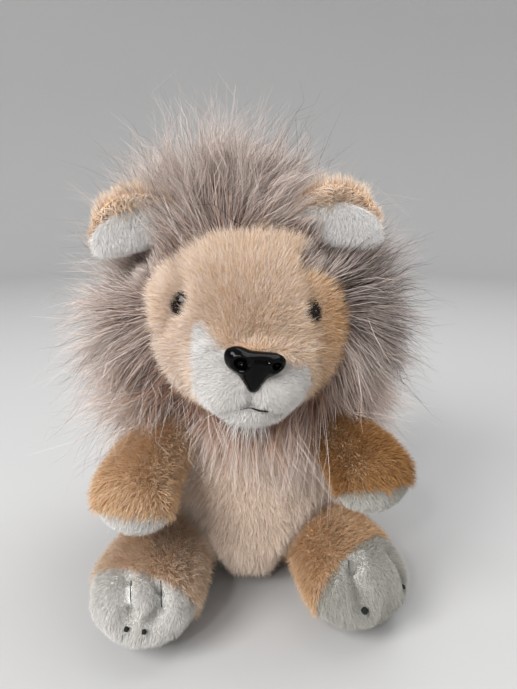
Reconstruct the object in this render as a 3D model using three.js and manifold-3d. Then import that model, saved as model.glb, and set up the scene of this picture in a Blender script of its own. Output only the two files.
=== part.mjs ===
// A plush lion that sits upright: a stuffed torso, head, arms and legs of short-pile cloth, white muzzle, palms
// and toes, a long-pile mane round the face, two-layer ears, a tail with a tuft, and snap-in eyes and nose.
// Millimetres, +Z up. The face looks along -Y, +X is to the right as seen from the front.
// The origin is the middle of the torso's flat base.
import * as THREE from "three";
import { mergeVertices } from "three/addons/utils/BufferGeometryUtils.js";
import Module from "manifold-3d";

const wasm = await Module();
wasm.setup();

// ---------- cloth, clearances and thread
const wall = 2.4; // cloth with its pile pressed flat
const gap = 0.3; // between sewn neighbours
const clearance = 0.2; // added to the gap where a piece turns in its seat
const settle = 0.5; // how deep each stuffed form is flattened where it sits
const overrun = 60; // how far a cutting tool passes what it cuts
const room = 600; // a block that cuts by one of its faces is this wide
const threadRadius = 0.5;

// ---------- driving dimensions of the stuffed forms
const torso = { radius: 41, height: 92, neckHole: 13 };
const head = { at: [0, -12, 118], halfWidth: 46, halfDepth: 38, halfHeight: 42 };
const snout = { at: [1.5, -40, 101.5], halfWidth: 22, halfDepth: 17.5, halfHeight: 19.5 };
const muzzleSeam = { rise: 13, lean: 0.05 }; // above the snout's middle, and its fall per mm towards +X
const mane = {
  at: [-1.5, 4, 118],
  halfWidth: 77,
  halfHeight: 82,
  front: 30,
  back: 43,
  hem: 88, // height of the lower edge, which stays clear of the arms as the head turns
  nape: { behind: 5, fallShare: 1.2 }, // behind this, the nape's panel falls over the back by this share
};
const pouch = { radius: 24, halfHeight: 10, behind: 3 };

// bow is how far the middle of a limb swings outwards from the straight line between its ends
const arms = {
  left: { root: [-25, -3, 70], tip: [-42, -71, 54], bow: 7, halfWidth: 18, halfHeight: 16.8 },
  right: { root: [25, -3, 71], tip: [48, -67, 61], bow: 7, halfWidth: 17.8, halfHeight: 16.6 },
};
const legs = {
  left: { root: [-28, 2, 18.5], tip: [-42, -77, 18.5], bow: 2, halfWidth: 23, halfHeight: 19 },
  right: { root: [24, 2, 18.5], tip: [47.5, -67, 18.5], bow: 2, halfWidth: 22.8, halfHeight: 19 },
};
// A seam plane faces across, ahead and up by these shares, and lies this far from the origin.
const shoulderSeam = { acrossShare: 0.84, aheadShare: 0.4, upShare: 0.37, from: 52 };
const hipSeam = { acrossShare: 0.75, aheadShare: 0.56, upShare: -0.35, from: 24.1 };
// The seams of the palms and feet cross a limb this far in from its tip, and look down and outwards by these
// shares.
const palmSeams = {
  left: { inFromTip: 8, downShare: 1.5, outShare: 0 },
  right: { inFromTip: 8, downShare: 1.5, outShare: 0 },
};
const footSeams = {
  left: { inFromTip: 21, downShare: 0.45, outShare: -0.08 },
  right: { inFromTip: 23, downShare: 0.45, outShare: 0.38 },
};

const ears = {
  left: { base: [-43, -12, 148.5], tip: [-50, -19, 169] },
  right: { base: [33.5, -14, 148], tip: [35, -17, 173.5] },
};
const ear = { halfWidth: 19.5, halfThick: 4.6, swing: 12 }; // the hinge lies half a thickness in from the root

const eye = { radius: 3.9, dome: 3, stem: 1.4, stemLength: 8, washer: 4.4, washerThick: 1.2 };
const eyePlaces = {
  left: { across: -26, above: 11.5 },
  right: { across: 25.5, above: 9 },
};
const nose = {
  at: [2.8, 108.6],
  halfWidth: 11.2,
  height: 15.5,
  depth: 4,
  round: 1.9,
  stem: 2,
  stemLength: 9,
  washer: 5.4,
  washerThick: 1.4,
  roll: 0.2, // radians, with the lobe at +X lower
};
const mouth = { halfWidth: 5.2, below: 7.5, droop: 1.4, bowShare: 0.6 };
const toeKnot = { radius: 1.1, proud: 0.4 };
const tail = { radius: 4.2, lift: 0.4, length: 50, fall: 8, rootShare: 0.965 };
const tuft = { length: 26, radius: 8.5 };

// ---------- counts
const bodySides = 18;
const limbSides = 12;
const pinSides = 8;
const threadSides = 6;
const bevelSteps = 3;
const outlinePoints = 22;
const ringShare = 0.6; // rings of a ball for each of its sides
const weldShare = 0.002; // points nearer than this share of a thread's radius are one

// ---------- small helpers
const vector = (list) => new THREE.Vector3(...list);
const up = new THREE.Vector3(0, 0, 1);

// A closed geometry as a solid that can be joined and cut.
function solidOf(geometry) {
  const bare = geometry.clone();
  for (const name of Object.keys(bare.attributes)) if (name !== "position") bare.deleteAttribute(name);
  const merged = mergeVertices(bare, weldShare * threadRadius);
  return new wasm.Manifold(
    new wasm.Mesh({
      numProp: 3,
      vertProperties: merged.attributes.position.array,
      triVerts: new Uint32Array(merged.index.array),
    }),
  );
}

function geometryOf(solid) {
  const made = solid.getMesh();
  const geometry = new THREE.BufferGeometry();
  geometry.setAttribute("position", new THREE.BufferAttribute(made.vertProperties, 3));
  geometry.setIndex(new THREE.BufferAttribute(made.triVerts, 1));
  geometry.computeVertexNormals();
  return geometry;
}

// Rings of points joined into one closed skin, with a single point at each end.
function skinOf(startPoint, rings, endPoint) {
  const sides = rings[0].length;
  const points = [startPoint, ...rings.flat(), endPoint];
  const last = points.length - 1;
  const faces = [];
  const place = (ring, side) => 1 + ring * sides + (side % sides);
  for (let side = 0; side < sides; side++) {
    faces.push(0, place(0, side + 1), place(0, side));
    for (let ring = 0; ring + 1 < rings.length; ring++) {
      const [a, b] = [place(ring, side), place(ring, side + 1)];
      const [c, d] = [place(ring + 1, side + 1), place(ring + 1, side)];
      faces.push(a, b, c, a, c, d);
    }
    faces.push(last, place(rings.length - 1, side), place(rings.length - 1, side + 1));
  }
  const geometry = new THREE.BufferGeometry();
  geometry.setAttribute("position", new THREE.Float32BufferAttribute(points.flatMap((p) => p.toArray()), 3));
  geometry.setIndex(faces);
  return geometry;
}

// A stuffed form from start to end. Each row is a share of the length, then the shares of the half width and the
// half height there, or one share for both.
function stuffed({ start, end, halfWidth, halfHeight, shares, bow, grow = 0, over = up }) {
  const along = end.clone().sub(start);
  const length = along.length();
  along.normalize();
  const across = over.clone().cross(along).normalize();
  const above = along.clone().cross(across).normalize();
  const at = (share) =>
    start
      .clone()
      .addScaledVector(along, share * (length + 2 * grow) - grow)
      .addScaledVector(bow ?? along, bow ? Math.sin(Math.PI * share) : 0);
  const rings = shares.map(([share, wide, high = wide]) =>
    Array.from({ length: limbSides }, (_, side) => {
      const angle = (2 * Math.PI * side) / limbSides;
      return at(share)
        .addScaledVector(across, Math.cos(angle) * (wide * halfWidth + grow))
        .addScaledVector(above, Math.sin(angle) * (high * halfHeight + grow));
    }),
  );
  return solidOf(skinOf(at(0), rings, at(1)));
}

function ellipsoid({ at, halfWidth, halfDepth, halfHeight }, grow = 0, sides = bodySides) {
  const ball = new THREE.SphereGeometry(1, sides, Math.round(sides * ringShare));
  ball.rotateX(Math.PI / 2);
  ball.scale(halfWidth + grow, halfDepth + grow, halfHeight + grow);
  ball.translate(...at);
  return solidOf(ball);
}

// A large block that fills everything beyond a plane, which faces its normal and lies that far from the origin.
function beyondPlane(normal, from) {
  const block = new THREE.BoxGeometry(room, room, room);
  block.translate(0, 0, room / 2);
  block.applyQuaternion(new THREE.Quaternion().setFromUnitVectors(up, normal));
  block.translate(...normal.clone().multiplyScalar(from).toArray());
  return solidOf(block);
}
const keepBeyond = (solid, normal, from) => solid.intersect(beyondPlane(normal, from));
const keepBehind = (solid, normal, from) => solid.subtract(beyondPlane(normal, from));
const onTheFloor = (solid) => keepBeyond(solid, up, 0);

// A pin along a line, as a closed cylinder.
function pin(start, end, radius, sides = pinSides) {
  const span = end.clone().sub(start);
  const rod = new THREE.CylinderGeometry(radius, radius, span.length(), sides);
  rod.applyQuaternion(new THREE.Quaternion().setFromUnitVectors(new THREE.Vector3(0, 1, 0), span.normalize()));
  rod.translate(...start.clone().add(end).multiplyScalar(0.5).toArray());
  return solidOf(rod);
}

// A thread that lies along a curve.
function thread(points, radius = threadRadius) {
  const curve = new THREE.CatmullRomCurve3(points);
  const section = new THREE.Shape().absarc(0, 0, radius, 0, 2 * Math.PI);
  return solidOf(
    new THREE.ExtrudeGeometry(section, {
      steps: 2 * (points.length - 1),
      curveSegments: threadSides / 2,
      extrudePath: curve,
    }),
  );
}

const cloth = (color, roughness = 0.95) => new THREE.MeshStandardMaterial({ color, roughness, metalness: 0 });
const finishes = {
  tan: cloth(0xc99b64),
  cream: cloth(0xdcc0a0),
  white: cloth(0xe4e0da),
  mane: cloth(0x94837c),
  filling: cloth(0xf2f2ee),
  lining: cloth(0xd8d2c4),
  glossBlack: cloth(0x0c0c0e, 0.18),
  brownEye: cloth(0x2a170d, 0.12),
  washer: cloth(0xe8e8e4, 0.5),
  thread: cloth(0x1b1f1c, 0.7),
};

const lion = new THREE.Group();
function piece(name, solid, finish) {
  const mesh = new THREE.Mesh(geometryOf(solid), finishes[finish]);
  mesh.name = name;
  lion.add(mesh);
}

// ---------- torso: an egg that is round about the neck's axis, so that the head can turn on it
const torsoShares = [
  [0.66, 0], [0.86, 0.04], [0.96, 0.13], [1, 0.28], [0.97, 0.44],
  [0.89, 0.6], [0.77, 0.74], [0.61, 0.87], [0.4, 0.96],
];
function torsoForm(grow = 0) {
  const low = -settle - grow;
  const tall = torso.height + settle + 2 * grow;
  const place = ([wide, high]) => new THREE.Vector2(wide * torso.radius + grow, low + high * tall);
  const outline = torsoShares.map(place);
  return solidOf(
    new THREE.LatheGeometry(
      [new THREE.Vector2(0, low), ...outline, new THREE.Vector2(0, low + tall)], bodySides,
    ).rotateX(Math.PI / 2),
  );
}

const sideSign = { left: -1, right: 1 };
const seamNormal = (seam, side) =>
  new THREE.Vector3(sideSign[side] * seam.acrossShare, -seam.aheadShare, seam.upShare).normalize();

// Trims the torso where the arms and legs are sewn on.
function seamed(solid, clear = gap / 2) {
  for (const side of ["left", "right"]) {
    solid = keepBehind(solid, seamNormal(shoulderSeam, side), shoulderSeam.from - clear);
    solid = keepBehind(solid, seamNormal(hipSeam, side), hipSeam.from - clear);
  }
  return solid;
}

const neckOpening = pin(
  new THREE.Vector3(0, 0, torso.height - overrun / 2), new THREE.Vector3(0, 0, torso.height + overrun),
  torso.neckHole, bodySides,
);
const pouchPlace = {
  at: [0, pouch.behind, wall - settle + gap + pouch.halfHeight],
  halfWidth: pouch.radius,
  halfDepth: pouch.radius,
  halfHeight: pouch.halfHeight,
};
piece("torso_shell", seamed(onTheFloor(torsoForm()).subtract(torsoForm(-wall)).subtract(neckOpening)), "cream");
piece(
  "torso_filling",
  seamed(torsoForm(-wall - gap), 2 * gap).subtract(ellipsoid(pouchPlace, gap, limbSides)), "filling",
);
piece("bean_pouch", ellipsoid(pouchPlace, 0, limbSides), "lining");

// ---------- arms and legs
const armShares = [[0.03, 0.42], [0.12, 0.72], [0.28, 0.86], [0.48, 0.92], [0.66, 0.98], [0.8, 1], [0.9, 0.82],
  [0.97, 0.47]];
const legShares = [[0.03, 0.42], [0.12, 0.74], [0.26, 0.9], [0.45, 0.95], [0.64, 1], [0.79, 1], [0.91, 0.84],
  [0.98, 0.5]];
function limbForm(limb, side, shares, grow) {
  return stuffed({
    start: vector(limb.root), end: vector(limb.tip), bow: new THREE.Vector3(sideSign[side] * limb.bow, 0, 0),
    halfWidth: limb.halfWidth, halfHeight: limb.halfHeight, shares, grow,
  });
}
const armForm = (side, grow = 0) => limbForm(arms[side], side, armShares, grow);
const legForm = (side, grow = 0) => limbForm(legs[side], side, legShares, grow);

// A seam across a limb, near its tip. The plane's normal looks out along the limb, a little down and outwards.
function endSeam(limb, side, { inFromTip, downShare, outShare }) {
  const tip = vector(limb.tip);
  const along = tip.clone().sub(vector(limb.root)).normalize();
  const normal = along.clone();
  normal.addScaledVector(up, -downShare);
  normal.x += sideSign[side] * outShare;
  normal.normalize();
  return { normal, from: normal.dot(tip.addScaledVector(along, -inFromTip)) };
}

// One limb: an open skin of two cloths, and its filling. Both are cut where the limb is sewn on and where it
// rests.
function limbPieces({ names, side, form, sewn, sewnFrom, seam, clearOf }) {
  const beyond = (solid, clear) => keepBeyond(solid, sewn, sewnFrom + clear);
  const skin = beyond(clearOf(form(side), gap).subtract(clearOf(form(side, -wall), gap + wall)), gap / 2);
  piece(names.skin, keepBehind(skin, seam.normal, seam.from - gap / 2), "tan");
  piece(names.tip, keepBeyond(skin, seam.normal, seam.from + gap / 2), "white");
  piece(names.filling, beyond(clearOf(form(side, -wall - gap), 2 * gap + wall), 2 * gap), "filling");
}
for (const side of ["left", "right"]) {
  limbPieces({
    names: { skin: `leg_${side}_shell`, tip: `foot_${side}_cap`, filling: `leg_${side}_filling` },
    side, form: legForm, sewn: seamNormal(hipSeam, side), sewnFrom: hipSeam.from,
    seam: endSeam(legs[side], side, footSeams[side]),
    clearOf: (solid, clear) => keepBeyond(solid, up, clear - gap),
  });
  limbPieces({
    names: { skin: `arm_${side}_shell`, tip: `palm_${side}_patch`, filling: `arm_${side}_filling` },
    side, form: armForm, sewn: seamNormal(shoulderSeam, side), sewnFrom: shoulderSeam.from,
    seam: endSeam(arms[side], side, palmSeams[side]),
    clearOf: (solid, clear) => solid.subtract(legForm(side, clear)),
  });
}

// ---------- toe threads: two pulled stitches over the front of each foot, each with a black knot below it
// Turns are angles inwards from the foot's middle line, and looks are angles above its middle, from the top down.
const longStitch = [0.92, 0.67, 0.42, 0.17];
const shortStitch = [1.1, 0.95, 0.8, 0.65];
const toeStitches = {
  left: [
    { name: "inner", turn: 0.56, looks: longStitch, knotTurn: 0.26 },
    { name: "outer", turn: -0.05, looks: longStitch, knotTurn: -0.08 },
  ],
  right: [
    { name: "inner", turn: 0.55, looks: shortStitch, knotTurn: 0.16 },
    { name: "outer", turn: -1, looks: longStitch, knotTurn: -0.95 },
  ],
};
const knotLook = 0.04;
const toeReachShare = 0.21; // of a leg's length, from the middle that the angles turn about to its tip
for (const side of ["left", "right"]) {
  const leg = legs[side];
  const end = vector(leg.tip);
  const along = end.clone().sub(vector(leg.root));
  const reach = toeReachShare * along.length();
  along.normalize();
  const inwards = along.clone().cross(up).normalize().multiplyScalar(sideSign[side]);
  const middle = end.clone().addScaledVector(along, -reach);
  const onFoot = (turn, look, clear) =>
    middle
      .clone()
      .addScaledVector(along, (reach + clear) * Math.cos(look) * Math.cos(turn))
      .addScaledVector(inwards, (leg.halfWidth + clear) * Math.cos(look) * Math.sin(turn))
      .addScaledVector(up, (leg.halfHeight + clear) * Math.sin(look));
  for (const { name, turn, looks, knotTurn } of toeStitches[side]) {
    const line = thread(looks.map((look) => onFoot(turn, look, threadRadius)));
    piece(`toe_thread_${side}_${name}`, line.subtract(legForm(side, gap)), "thread");
    const knot = new THREE.SphereGeometry(toeKnot.radius, pinSides, threadSides);
    knot.translate(...onFoot(knotTurn, knotLook, toeKnot.proud).toArray());
    piece(`toe_knot_${side}_${name}`, solidOf(knot).subtract(legForm(side, gap)), "thread");
  }
}

// ---------- head: a broad ball with the top of the snout, and the white muzzle sewn under it
const seamAcross = new THREE.Vector3(muzzleSeam.lean, 0, 1).normalize();
const seamFrom = seamAcross.dot(vector(snout.at)) + muzzleSeam.rise;
function headForm(grow = 0) {
  return ellipsoid(head, grow).add(keepBeyond(ellipsoid(snout, grow), seamAcross, seamFrom + gap / 2));
}
// The torso's rings have flat sides, so what turns on it stays clear of their corners.
const turningGap = gap + torso.radius * (1 - Math.cos(Math.PI / bodySides));
const turnedClear = (solid) => solid.subtract(torsoForm(turningGap));

// A button with a stem that is pushed through the cloth and held by a washer behind it.
function snapPiece({ place, outwards, body, stem, stemLength, washer, washerThick }) {
  const inwards = outwards.clone().negate();
  const stemPin = (grow, extra = 0) =>
    pin(place.clone().addScaledVector(outwards, gap), place.clone().addScaledVector(inwards, stemLength + extra),
      stem + grow);
  const seat = place.clone().addScaledVector(inwards, wall + 2 * gap);
  const washerDisc = (grow) =>
    pin(seat.clone().addScaledVector(outwards, grow), seat.clone().addScaledVector(inwards, washerThick + grow),
      washer + grow);
  return {
    button: body.add(stemPin(0)),
    washer: washerDisc(0).subtract(stemPin(gap, overrun)),
    hole: stemPin(gap, gap).add(washerDisc(gap)),
  };
}

// The point of an ellipsoid's front face at this place across and above its middle, and its outward normal.
function frontOf({ at, halfWidth, halfDepth, halfHeight }, across, above) {
  const depth = halfDepth * Math.sqrt(1 - (across / halfWidth) ** 2 - (above / halfHeight) ** 2);
  const point = vector(at).add(new THREE.Vector3(across, -depth, above));
  const outwards = new THREE.Vector3(across / halfWidth ** 2, -depth / halfDepth ** 2, above / halfHeight ** 2);
  return { point, outwards: outwards.normalize() };
}

const eyeFittings = ["left", "right"].map((side) => {
  const { across, above } = eyePlaces[side];
  const { point, outwards } = frontOf(head, across, above);
  const dome = new THREE.SphereGeometry(1, limbSides, pinSides);
  dome.scale(eye.radius, eye.radius, eye.dome);
  dome.applyQuaternion(new THREE.Quaternion().setFromUnitVectors(up, outwards));
  dome.translate(...point.toArray());
  const body = solidOf(dome).subtract(ellipsoid(head, gap));
  return { side, ...snapPiece({ ...eye, place: point, outwards, body }) };
});

// The nose is a broad bar with a lobe at each end and a rounded tip below. Shares of its half width and height.
const noseShares = [[0, 0.36], [0.55, 0.44], [0.9, 0.34], [1, 0.08], [0.82, -0.12], [0.5, -0.2], [0.28, -0.42],
  [0.12, -0.56]];
function noseFitting() {
  const right = noseShares.map(([wide, high]) => new THREE.Vector2(wide * nose.halfWidth, high * nose.height));
  const left = right.slice(1).reverse().map((point) => new THREE.Vector2(-point.x, point.y));
  const outline = new THREE.Shape(new THREE.SplineCurve([...left, ...right]).getPoints(outlinePoints));
  const block = new THREE.ExtrudeGeometry(outline, {
    depth: nose.depth, steps: 1, bevelEnabled: true,
    bevelThickness: nose.round, bevelSize: nose.round, bevelOffset: -nose.round, bevelSegments: bevelSteps,
  });
  block.rotateX(Math.PI / 2);
  block.rotateY(nose.roll);
  const across = nose.at[0] - snout.at[0];
  const above = nose.at[1] - snout.at[2];
  const { point, outwards } = frontOf(snout, across, above);
  block.translate(point.x, point.y + nose.depth / 2, point.z);
  const body = solidOf(block).subtract(ellipsoid(snout, gap)).subtract(ellipsoid(head, gap));
  return snapPiece({ ...nose, place: point, outwards, body });
}
const noseParts = noseFitting();

let headSkin = turnedClear(headForm().subtract(headForm(-wall)));
let headStuffing = turnedClear(headForm(-wall - gap));
for (const { side, button, washer, hole } of eyeFittings) {
  headSkin = headSkin.subtract(hole);
  headStuffing = headStuffing.subtract(hole);
  piece(`eye_${side}`, button, "brownEye");
  piece(`eye_${side}_washer`, washer, "washer");
}
const belowSeam = (solid, clear) => keepBehind(solid, seamAcross, seamFrom - clear).subtract(ellipsoid(head, gap));
piece("head_shell", headSkin.subtract(noseParts.hole), "tan");
piece("head_filling", headStuffing.subtract(noseParts.hole), "filling");
piece(
  "muzzle_shell",
  belowSeam(ellipsoid(snout).subtract(ellipsoid(snout, -wall)), gap / 2).subtract(noseParts.hole), "white",
);
piece(
  "muzzle_filling",
  belowSeam(ellipsoid(snout, -wall - gap), 2 * gap).subtract(noseParts.hole), "filling",
);
piece("nose", noseParts.button, "glossBlack");
piece("nose_washer", noseParts.washer, "washer");

// ---------- mouth: one black stitch, high in the middle and low at its two corners
const mouthShares = [-1, -0.55, 0, 0.55, 1];
const mouthPoints = mouthShares.map((share) => {
  const drop = mouth.droop * Math.sin(Math.abs(share) * Math.PI * mouth.bowShare);
  const across = share * mouth.halfWidth + nose.at[0] - snout.at[0];
  const { point, outwards } = frontOf(snout, across, -mouth.below - drop);
  return point.addScaledVector(outwards, threadRadius + gap);
});
piece("mouth_thread", thread(mouthPoints).subtract(ellipsoid(snout, gap / 2)), "thread");

// ---------- ears: a tan back and a white lining, sewn round the edge, that hinge near the base
const earShares = [[0.03, 0.5], [0.09, 0.77], [0.16, 0.94], [0.27, 1], [0.58, 0.93], [0.76, 0.76], [0.9, 0.5],
  [0.97, 0.28]];
// The room an ear needs in the mane: the ear itself at its root, and thicker further out, where it flops.
const earRoomShares = [[0.03, 0.5], [0.09, 0.77], [0.16, 0.94, 0.98], [0.3, 1.08, 1.25], [0.58, 1.14, 1.6],
  [0.8, 0.98, 1.65], [0.95, 0.66, 1.3]];
function earForm(side, grow = 0, shares = earShares) {
  const [start, end] = [vector(ears[side].base), vector(ears[side].tip)];
  const ahead = new THREE.Vector3(0, -1, 0);
  return stuffed({
    start, end, over: ahead, halfWidth: ear.halfWidth, halfHeight: ear.halfThick, shares, grow,
  });
}
function earPlaces(side) {
  const base = vector(ears[side].base);
  const along = vector(ears[side].tip).sub(base).normalize();
  const ahead = new THREE.Vector3(0, -1, 0);
  const hinge = ahead.clone().cross(along).normalize();
  const front = along.clone().cross(hinge).normalize();
  return { pivot: base.clone().addScaledVector(along, ear.halfThick), hinge, front, from: front.dot(base) };
}
// A form turned about an ear's hinge.
function flopped(solid, side, degrees) {
  const { pivot, hinge } = earPlaces(side);
  const skin = geometryOf(solid);
  skin.translate(...pivot.clone().negate().toArray());
  skin.applyQuaternion(new THREE.Quaternion().setFromAxisAngle(hinge, THREE.MathUtils.degToRad(degrees)));
  skin.translate(...pivot.toArray());
  return solidOf(skin);
}
const flops = [-ear.swing, 0, ear.swing];
for (const side of ["left", "right"]) {
  const { front, from } = earPlaces(side);
  const whole = flops.reduce((solid, turn) => solid.subtract(flopped(headForm(gap), side, turn)), earForm(side));
  piece(`ear_${side}_back`, keepBehind(whole, front, from - gap / 2), "tan");
  piece(`ear_${side}_lining`, keepBeyond(whole, front, from + gap / 2), "white");
}
const roomFor = (side) => earForm(side, gap + clearance, earRoomShares);
const earRoom = roomFor("left").add(roomFor("right"));

// ---------- mane: a hood of long pile from the face's edge over the back of the head, and a panel at the nape
const maneShares = [[0.48, -1], [0.66, -0.84], [0.84, -0.46], [0.96, 0], [1, 0.26], [0.93, 0.54], [0.74, 0.8],
  [0.42, 0.97]];
function maneForm() {
  const reach = (share) => (share < 0 ? share * mane.front : share * mane.back);
  const outline = maneShares.map(([wide, deep]) => new THREE.Vector2(wide, reach(deep)));
  const hood = new THREE.LatheGeometry(
    [new THREE.Vector2(0, outline[0].y), ...outline, new THREE.Vector2(0, mane.back)], bodySides + pinSides,
  );
  hood.scale(mane.halfWidth, 1, mane.halfHeight);
  hood.translate(...mane.at);
  return solidOf(hood);
}
const maneSkin = (solid) => turnedClear(solid).subtract(headForm(gap)).subtract(earRoom);
piece("mane", maneSkin(keepBeyond(maneForm(), up, mane.hem)), "mane");
// The nape's panel is sewn on under the hood and hangs down behind, clear of the arms as the head turns.
function napeForm() {
  const { behind, fallShare } = mane.nape;
  const fall = new THREE.Vector3(0, fallShare, 1);
  const from = (mane.hem + fallShare * behind) / fall.length();
  return keepBeyond(keepBehind(maneForm(), up, mane.hem - gap), fall.normalize(), from);
}
piece("mane_nape", maneSkin(napeForm()), "mane");

// ---------- tail: comes out low at the back, falls to the floor and curls round, with a tuft of mane cloth
const tailTurnShares = [0, 0.22, 0.46, 0.72, 1];
const tailTurn = tail.length / (torso.radius + tail.radius); // radians round the torso
const tailPoints = tailTurnShares.map((share) => {
  const turn = share * tailTurn;
  const reach = torso.radius * tail.rootShare + tail.radius + gap;
  const height = tail.radius + tail.lift + tail.fall * (1 - share) ** 2;
  return new THREE.Vector3(reach * Math.sin(turn), reach * Math.cos(turn), height);
});
const tailTip = tailPoints[tailPoints.length - 1];
const tailEnds = tailTip.clone().sub(tailPoints[tailPoints.length - 2]).setZ(0).normalize();
const [halfWidth, halfDepth, halfHeight] = [tail.radius, tail.radius, tail.radius];
const tailKnob = ellipsoid({ at: tailPoints[0].toArray(), halfWidth, halfDepth, halfHeight }, 0, limbSides);
piece("tail", thread(tailPoints, tail.radius).add(tailKnob).subtract(torsoForm(gap)), "tan");
const tuftShares = [[0.06, 0.5], [0.2, 0.82], [0.42, 1], [0.62, 0.9], [0.8, 0.6], [0.93, 0.28]];
piece(
  "tail_tuft",
  stuffed({
    start: tailTip.clone().addScaledVector(tailEnds, gap),
    end: tailTip.clone().addScaledVector(tailEnds, gap + tuft.length),
    halfWidth: tuft.radius, halfHeight: tail.radius, shares: tuftShares,
  }),
  "mane",
);

export default lion;
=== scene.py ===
# %% [markdown]
# # A plush lion, dressed over its plain solids
# The plain solids of the lion come in first, as a fixed frame in metres: +Z is up, the face looks along -Y,
# and +X is to the right. Everything after this puts cloth, pile, hair, plastic and thread where those
# solids are.

# %% Load the frame
import math

import bmesh
import bpy
import numpy as np
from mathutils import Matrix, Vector
from mathutils.bvhtree import BVHTree
from mathutils.kdtree import KDTree


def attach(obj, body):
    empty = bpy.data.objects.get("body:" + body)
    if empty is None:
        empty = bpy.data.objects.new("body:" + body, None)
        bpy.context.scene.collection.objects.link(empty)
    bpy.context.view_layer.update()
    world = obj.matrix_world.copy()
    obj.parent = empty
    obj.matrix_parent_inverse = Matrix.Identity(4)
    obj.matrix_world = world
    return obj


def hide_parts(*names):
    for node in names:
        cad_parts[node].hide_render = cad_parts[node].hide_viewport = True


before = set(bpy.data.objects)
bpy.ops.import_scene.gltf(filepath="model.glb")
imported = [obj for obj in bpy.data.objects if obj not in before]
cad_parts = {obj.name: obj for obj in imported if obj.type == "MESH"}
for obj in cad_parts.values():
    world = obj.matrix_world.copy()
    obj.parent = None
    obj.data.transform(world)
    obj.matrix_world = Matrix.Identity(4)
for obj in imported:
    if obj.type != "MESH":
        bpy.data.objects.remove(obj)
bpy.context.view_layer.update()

mm = 0.001
SIDES = ("left", "right")

# %% [markdown]
# ## The camera
# The photograph looks slightly down at the lion from close by, so its head looms over its feet. A lens of
# about 28 mm on a 36 mm frame, 23 cm in front of the lion and level with its brow, gives the same near
# view.

# %% Place the camera
SENSOR, LENS = 36, 27.7  # mm
LOOKS_DOWN = 15  # degrees


def link(data, name):
    """Puts a mesh, a lamp or a camera into the scene under a name."""
    piece = bpy.data.objects.new(name, data)
    bpy.context.scene.collection.objects.link(piece)
    return piece


camera = link(bpy.data.cameras.new("camera"), "camera")
camera.data.sensor_width = SENSOR
camera.data.lens = LENS
camera.data.clip_start = 0.01
camera.location = (4 * mm, -231 * mm, 165 * mm)
camera.rotation_euler = (math.radians(90 - LOOKS_DOWN), 0, 0)
bpy.context.scene.camera = camera
print("camera at", [round(c / mm) for c in camera.location], "mm")

# %% [markdown]
# ## Helpers for cloth skins
# A stuffed toy's skin is one soft closed form with no corners. The plain solids have the right size but
# flat facets. Remeshing a copy into small even squares and then relaxing it gives a smooth skin with an
# even net of points, which is what the pile needs to grow from. Relaxing shrinks a form a little, so each
# round of it is followed by a slight push back outwards.

# %% Read and move the points of a mesh
def points_of(mesh):
    points = np.empty(len(mesh.vertices) * 3)
    mesh.vertices.foreach_get("co", points)
    return points.reshape(-1, 3)


def normals_of(mesh):
    normals = np.empty(len(mesh.vertices) * 3, dtype=np.float32)
    mesh.vertex_normals.foreach_get("vector", normals)
    return normals.reshape(-1, 3).astype(float)


def set_points(mesh, points):
    mesh.vertices.foreach_set("co", points.astype(np.float32).ravel())
    mesh.update()


def middle_of(node):
    """The middle of a solid's points, in mm."""
    return points_of(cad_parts[node].data).mean(0) / mm


# %% Turn solids into one even skin
def piece_of(net, name):
    """A net of faces as a piece in the scene."""
    mesh = bpy.data.meshes.new(name)
    net.to_mesh(mesh)
    net.free()
    return link(mesh, name)


def baked(piece):
    """The piece with its modifiers made real, as a plain mesh."""
    bpy.context.view_layer.update()
    shape = piece.evaluated_get(bpy.context.evaluated_depsgraph_get())
    mesh = bpy.data.meshes.new_from_object(shape)
    piece.modifiers.clear()
    piece.data = mesh
    return piece


def joined_solids(name, nodes):
    net = bmesh.new()
    for node in nodes:
        net.from_mesh(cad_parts[node].data)
    bmesh.ops.remove_doubles(net, verts=net.verts, dist=1e-6)
    return piece_of(net, name)


def remeshed(piece, square):
    remesh = piece.modifiers.new("even net", "REMESH")
    remesh.mode = "VOXEL"
    remesh.voxel_size = square * mm
    return baked(piece)


def relaxed(piece, rounds):
    """Moves every point towards its neighbours, then a little back, so facets melt and the size stays."""
    mesh = piece.data
    pairs = np.empty(len(mesh.edges) * 2, dtype=np.int64)
    mesh.edges.foreach_get("vertices", pairs)
    a, b = pairs.reshape(-1, 2).T
    points = points_of(mesh)
    count = np.bincount(np.concatenate([a, b]), minlength=len(points))[:, None]
    for _ in range(rounds):
        for pull in (0.6, -0.55):
            total = np.zeros_like(points)
            np.add.at(total, a, points[b])
            np.add.at(total, b, points[a])
            points += pull * (total / count - points)
    set_points(mesh, points)
    return piece


def skin_from(name, nodes, square, rounds=30):
    """One smooth skin over some solids, with a net of squares of a given size in mm."""
    piece = relaxed(remeshed(joined_solids(name, nodes), square), rounds)
    print(f"{name}: {len(piece.data.vertices)} points from {len(nodes)} solids")
    return piece


# %% [markdown]
# ## Helpers for colours and finishes
# A finish reads either the place on the object or, for pile and hair, a small map made with each strand:
# along one way of the map lies the strand's own tone, and along the other how far up the strand the point
# is. So one finish can have dark roots, pale tips and a thousand slightly different hairs.

# %% Start a finish
def srgb(code):
    """A colour written as its screen code, as the linear values that a shader wants."""
    parts = [int(code[i:i + 2], 16) / 255 for i in (0, 2, 4)]
    return [c / 12.92 if c < 0.04045 else ((c + 0.055) / 1.055) ** 2.4 for c in parts] + [1.0]


def finish_named(name, roughness, specular):
    finish = bpy.data.materials.new(name)
    finish.use_nodes = True
    shader = finish.node_tree.nodes["Principled BSDF"]
    shader.inputs["Roughness"].default_value = roughness
    shader.inputs["Specular IOR Level"].default_value = specular
    return finish, finish.node_tree, shader


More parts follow.
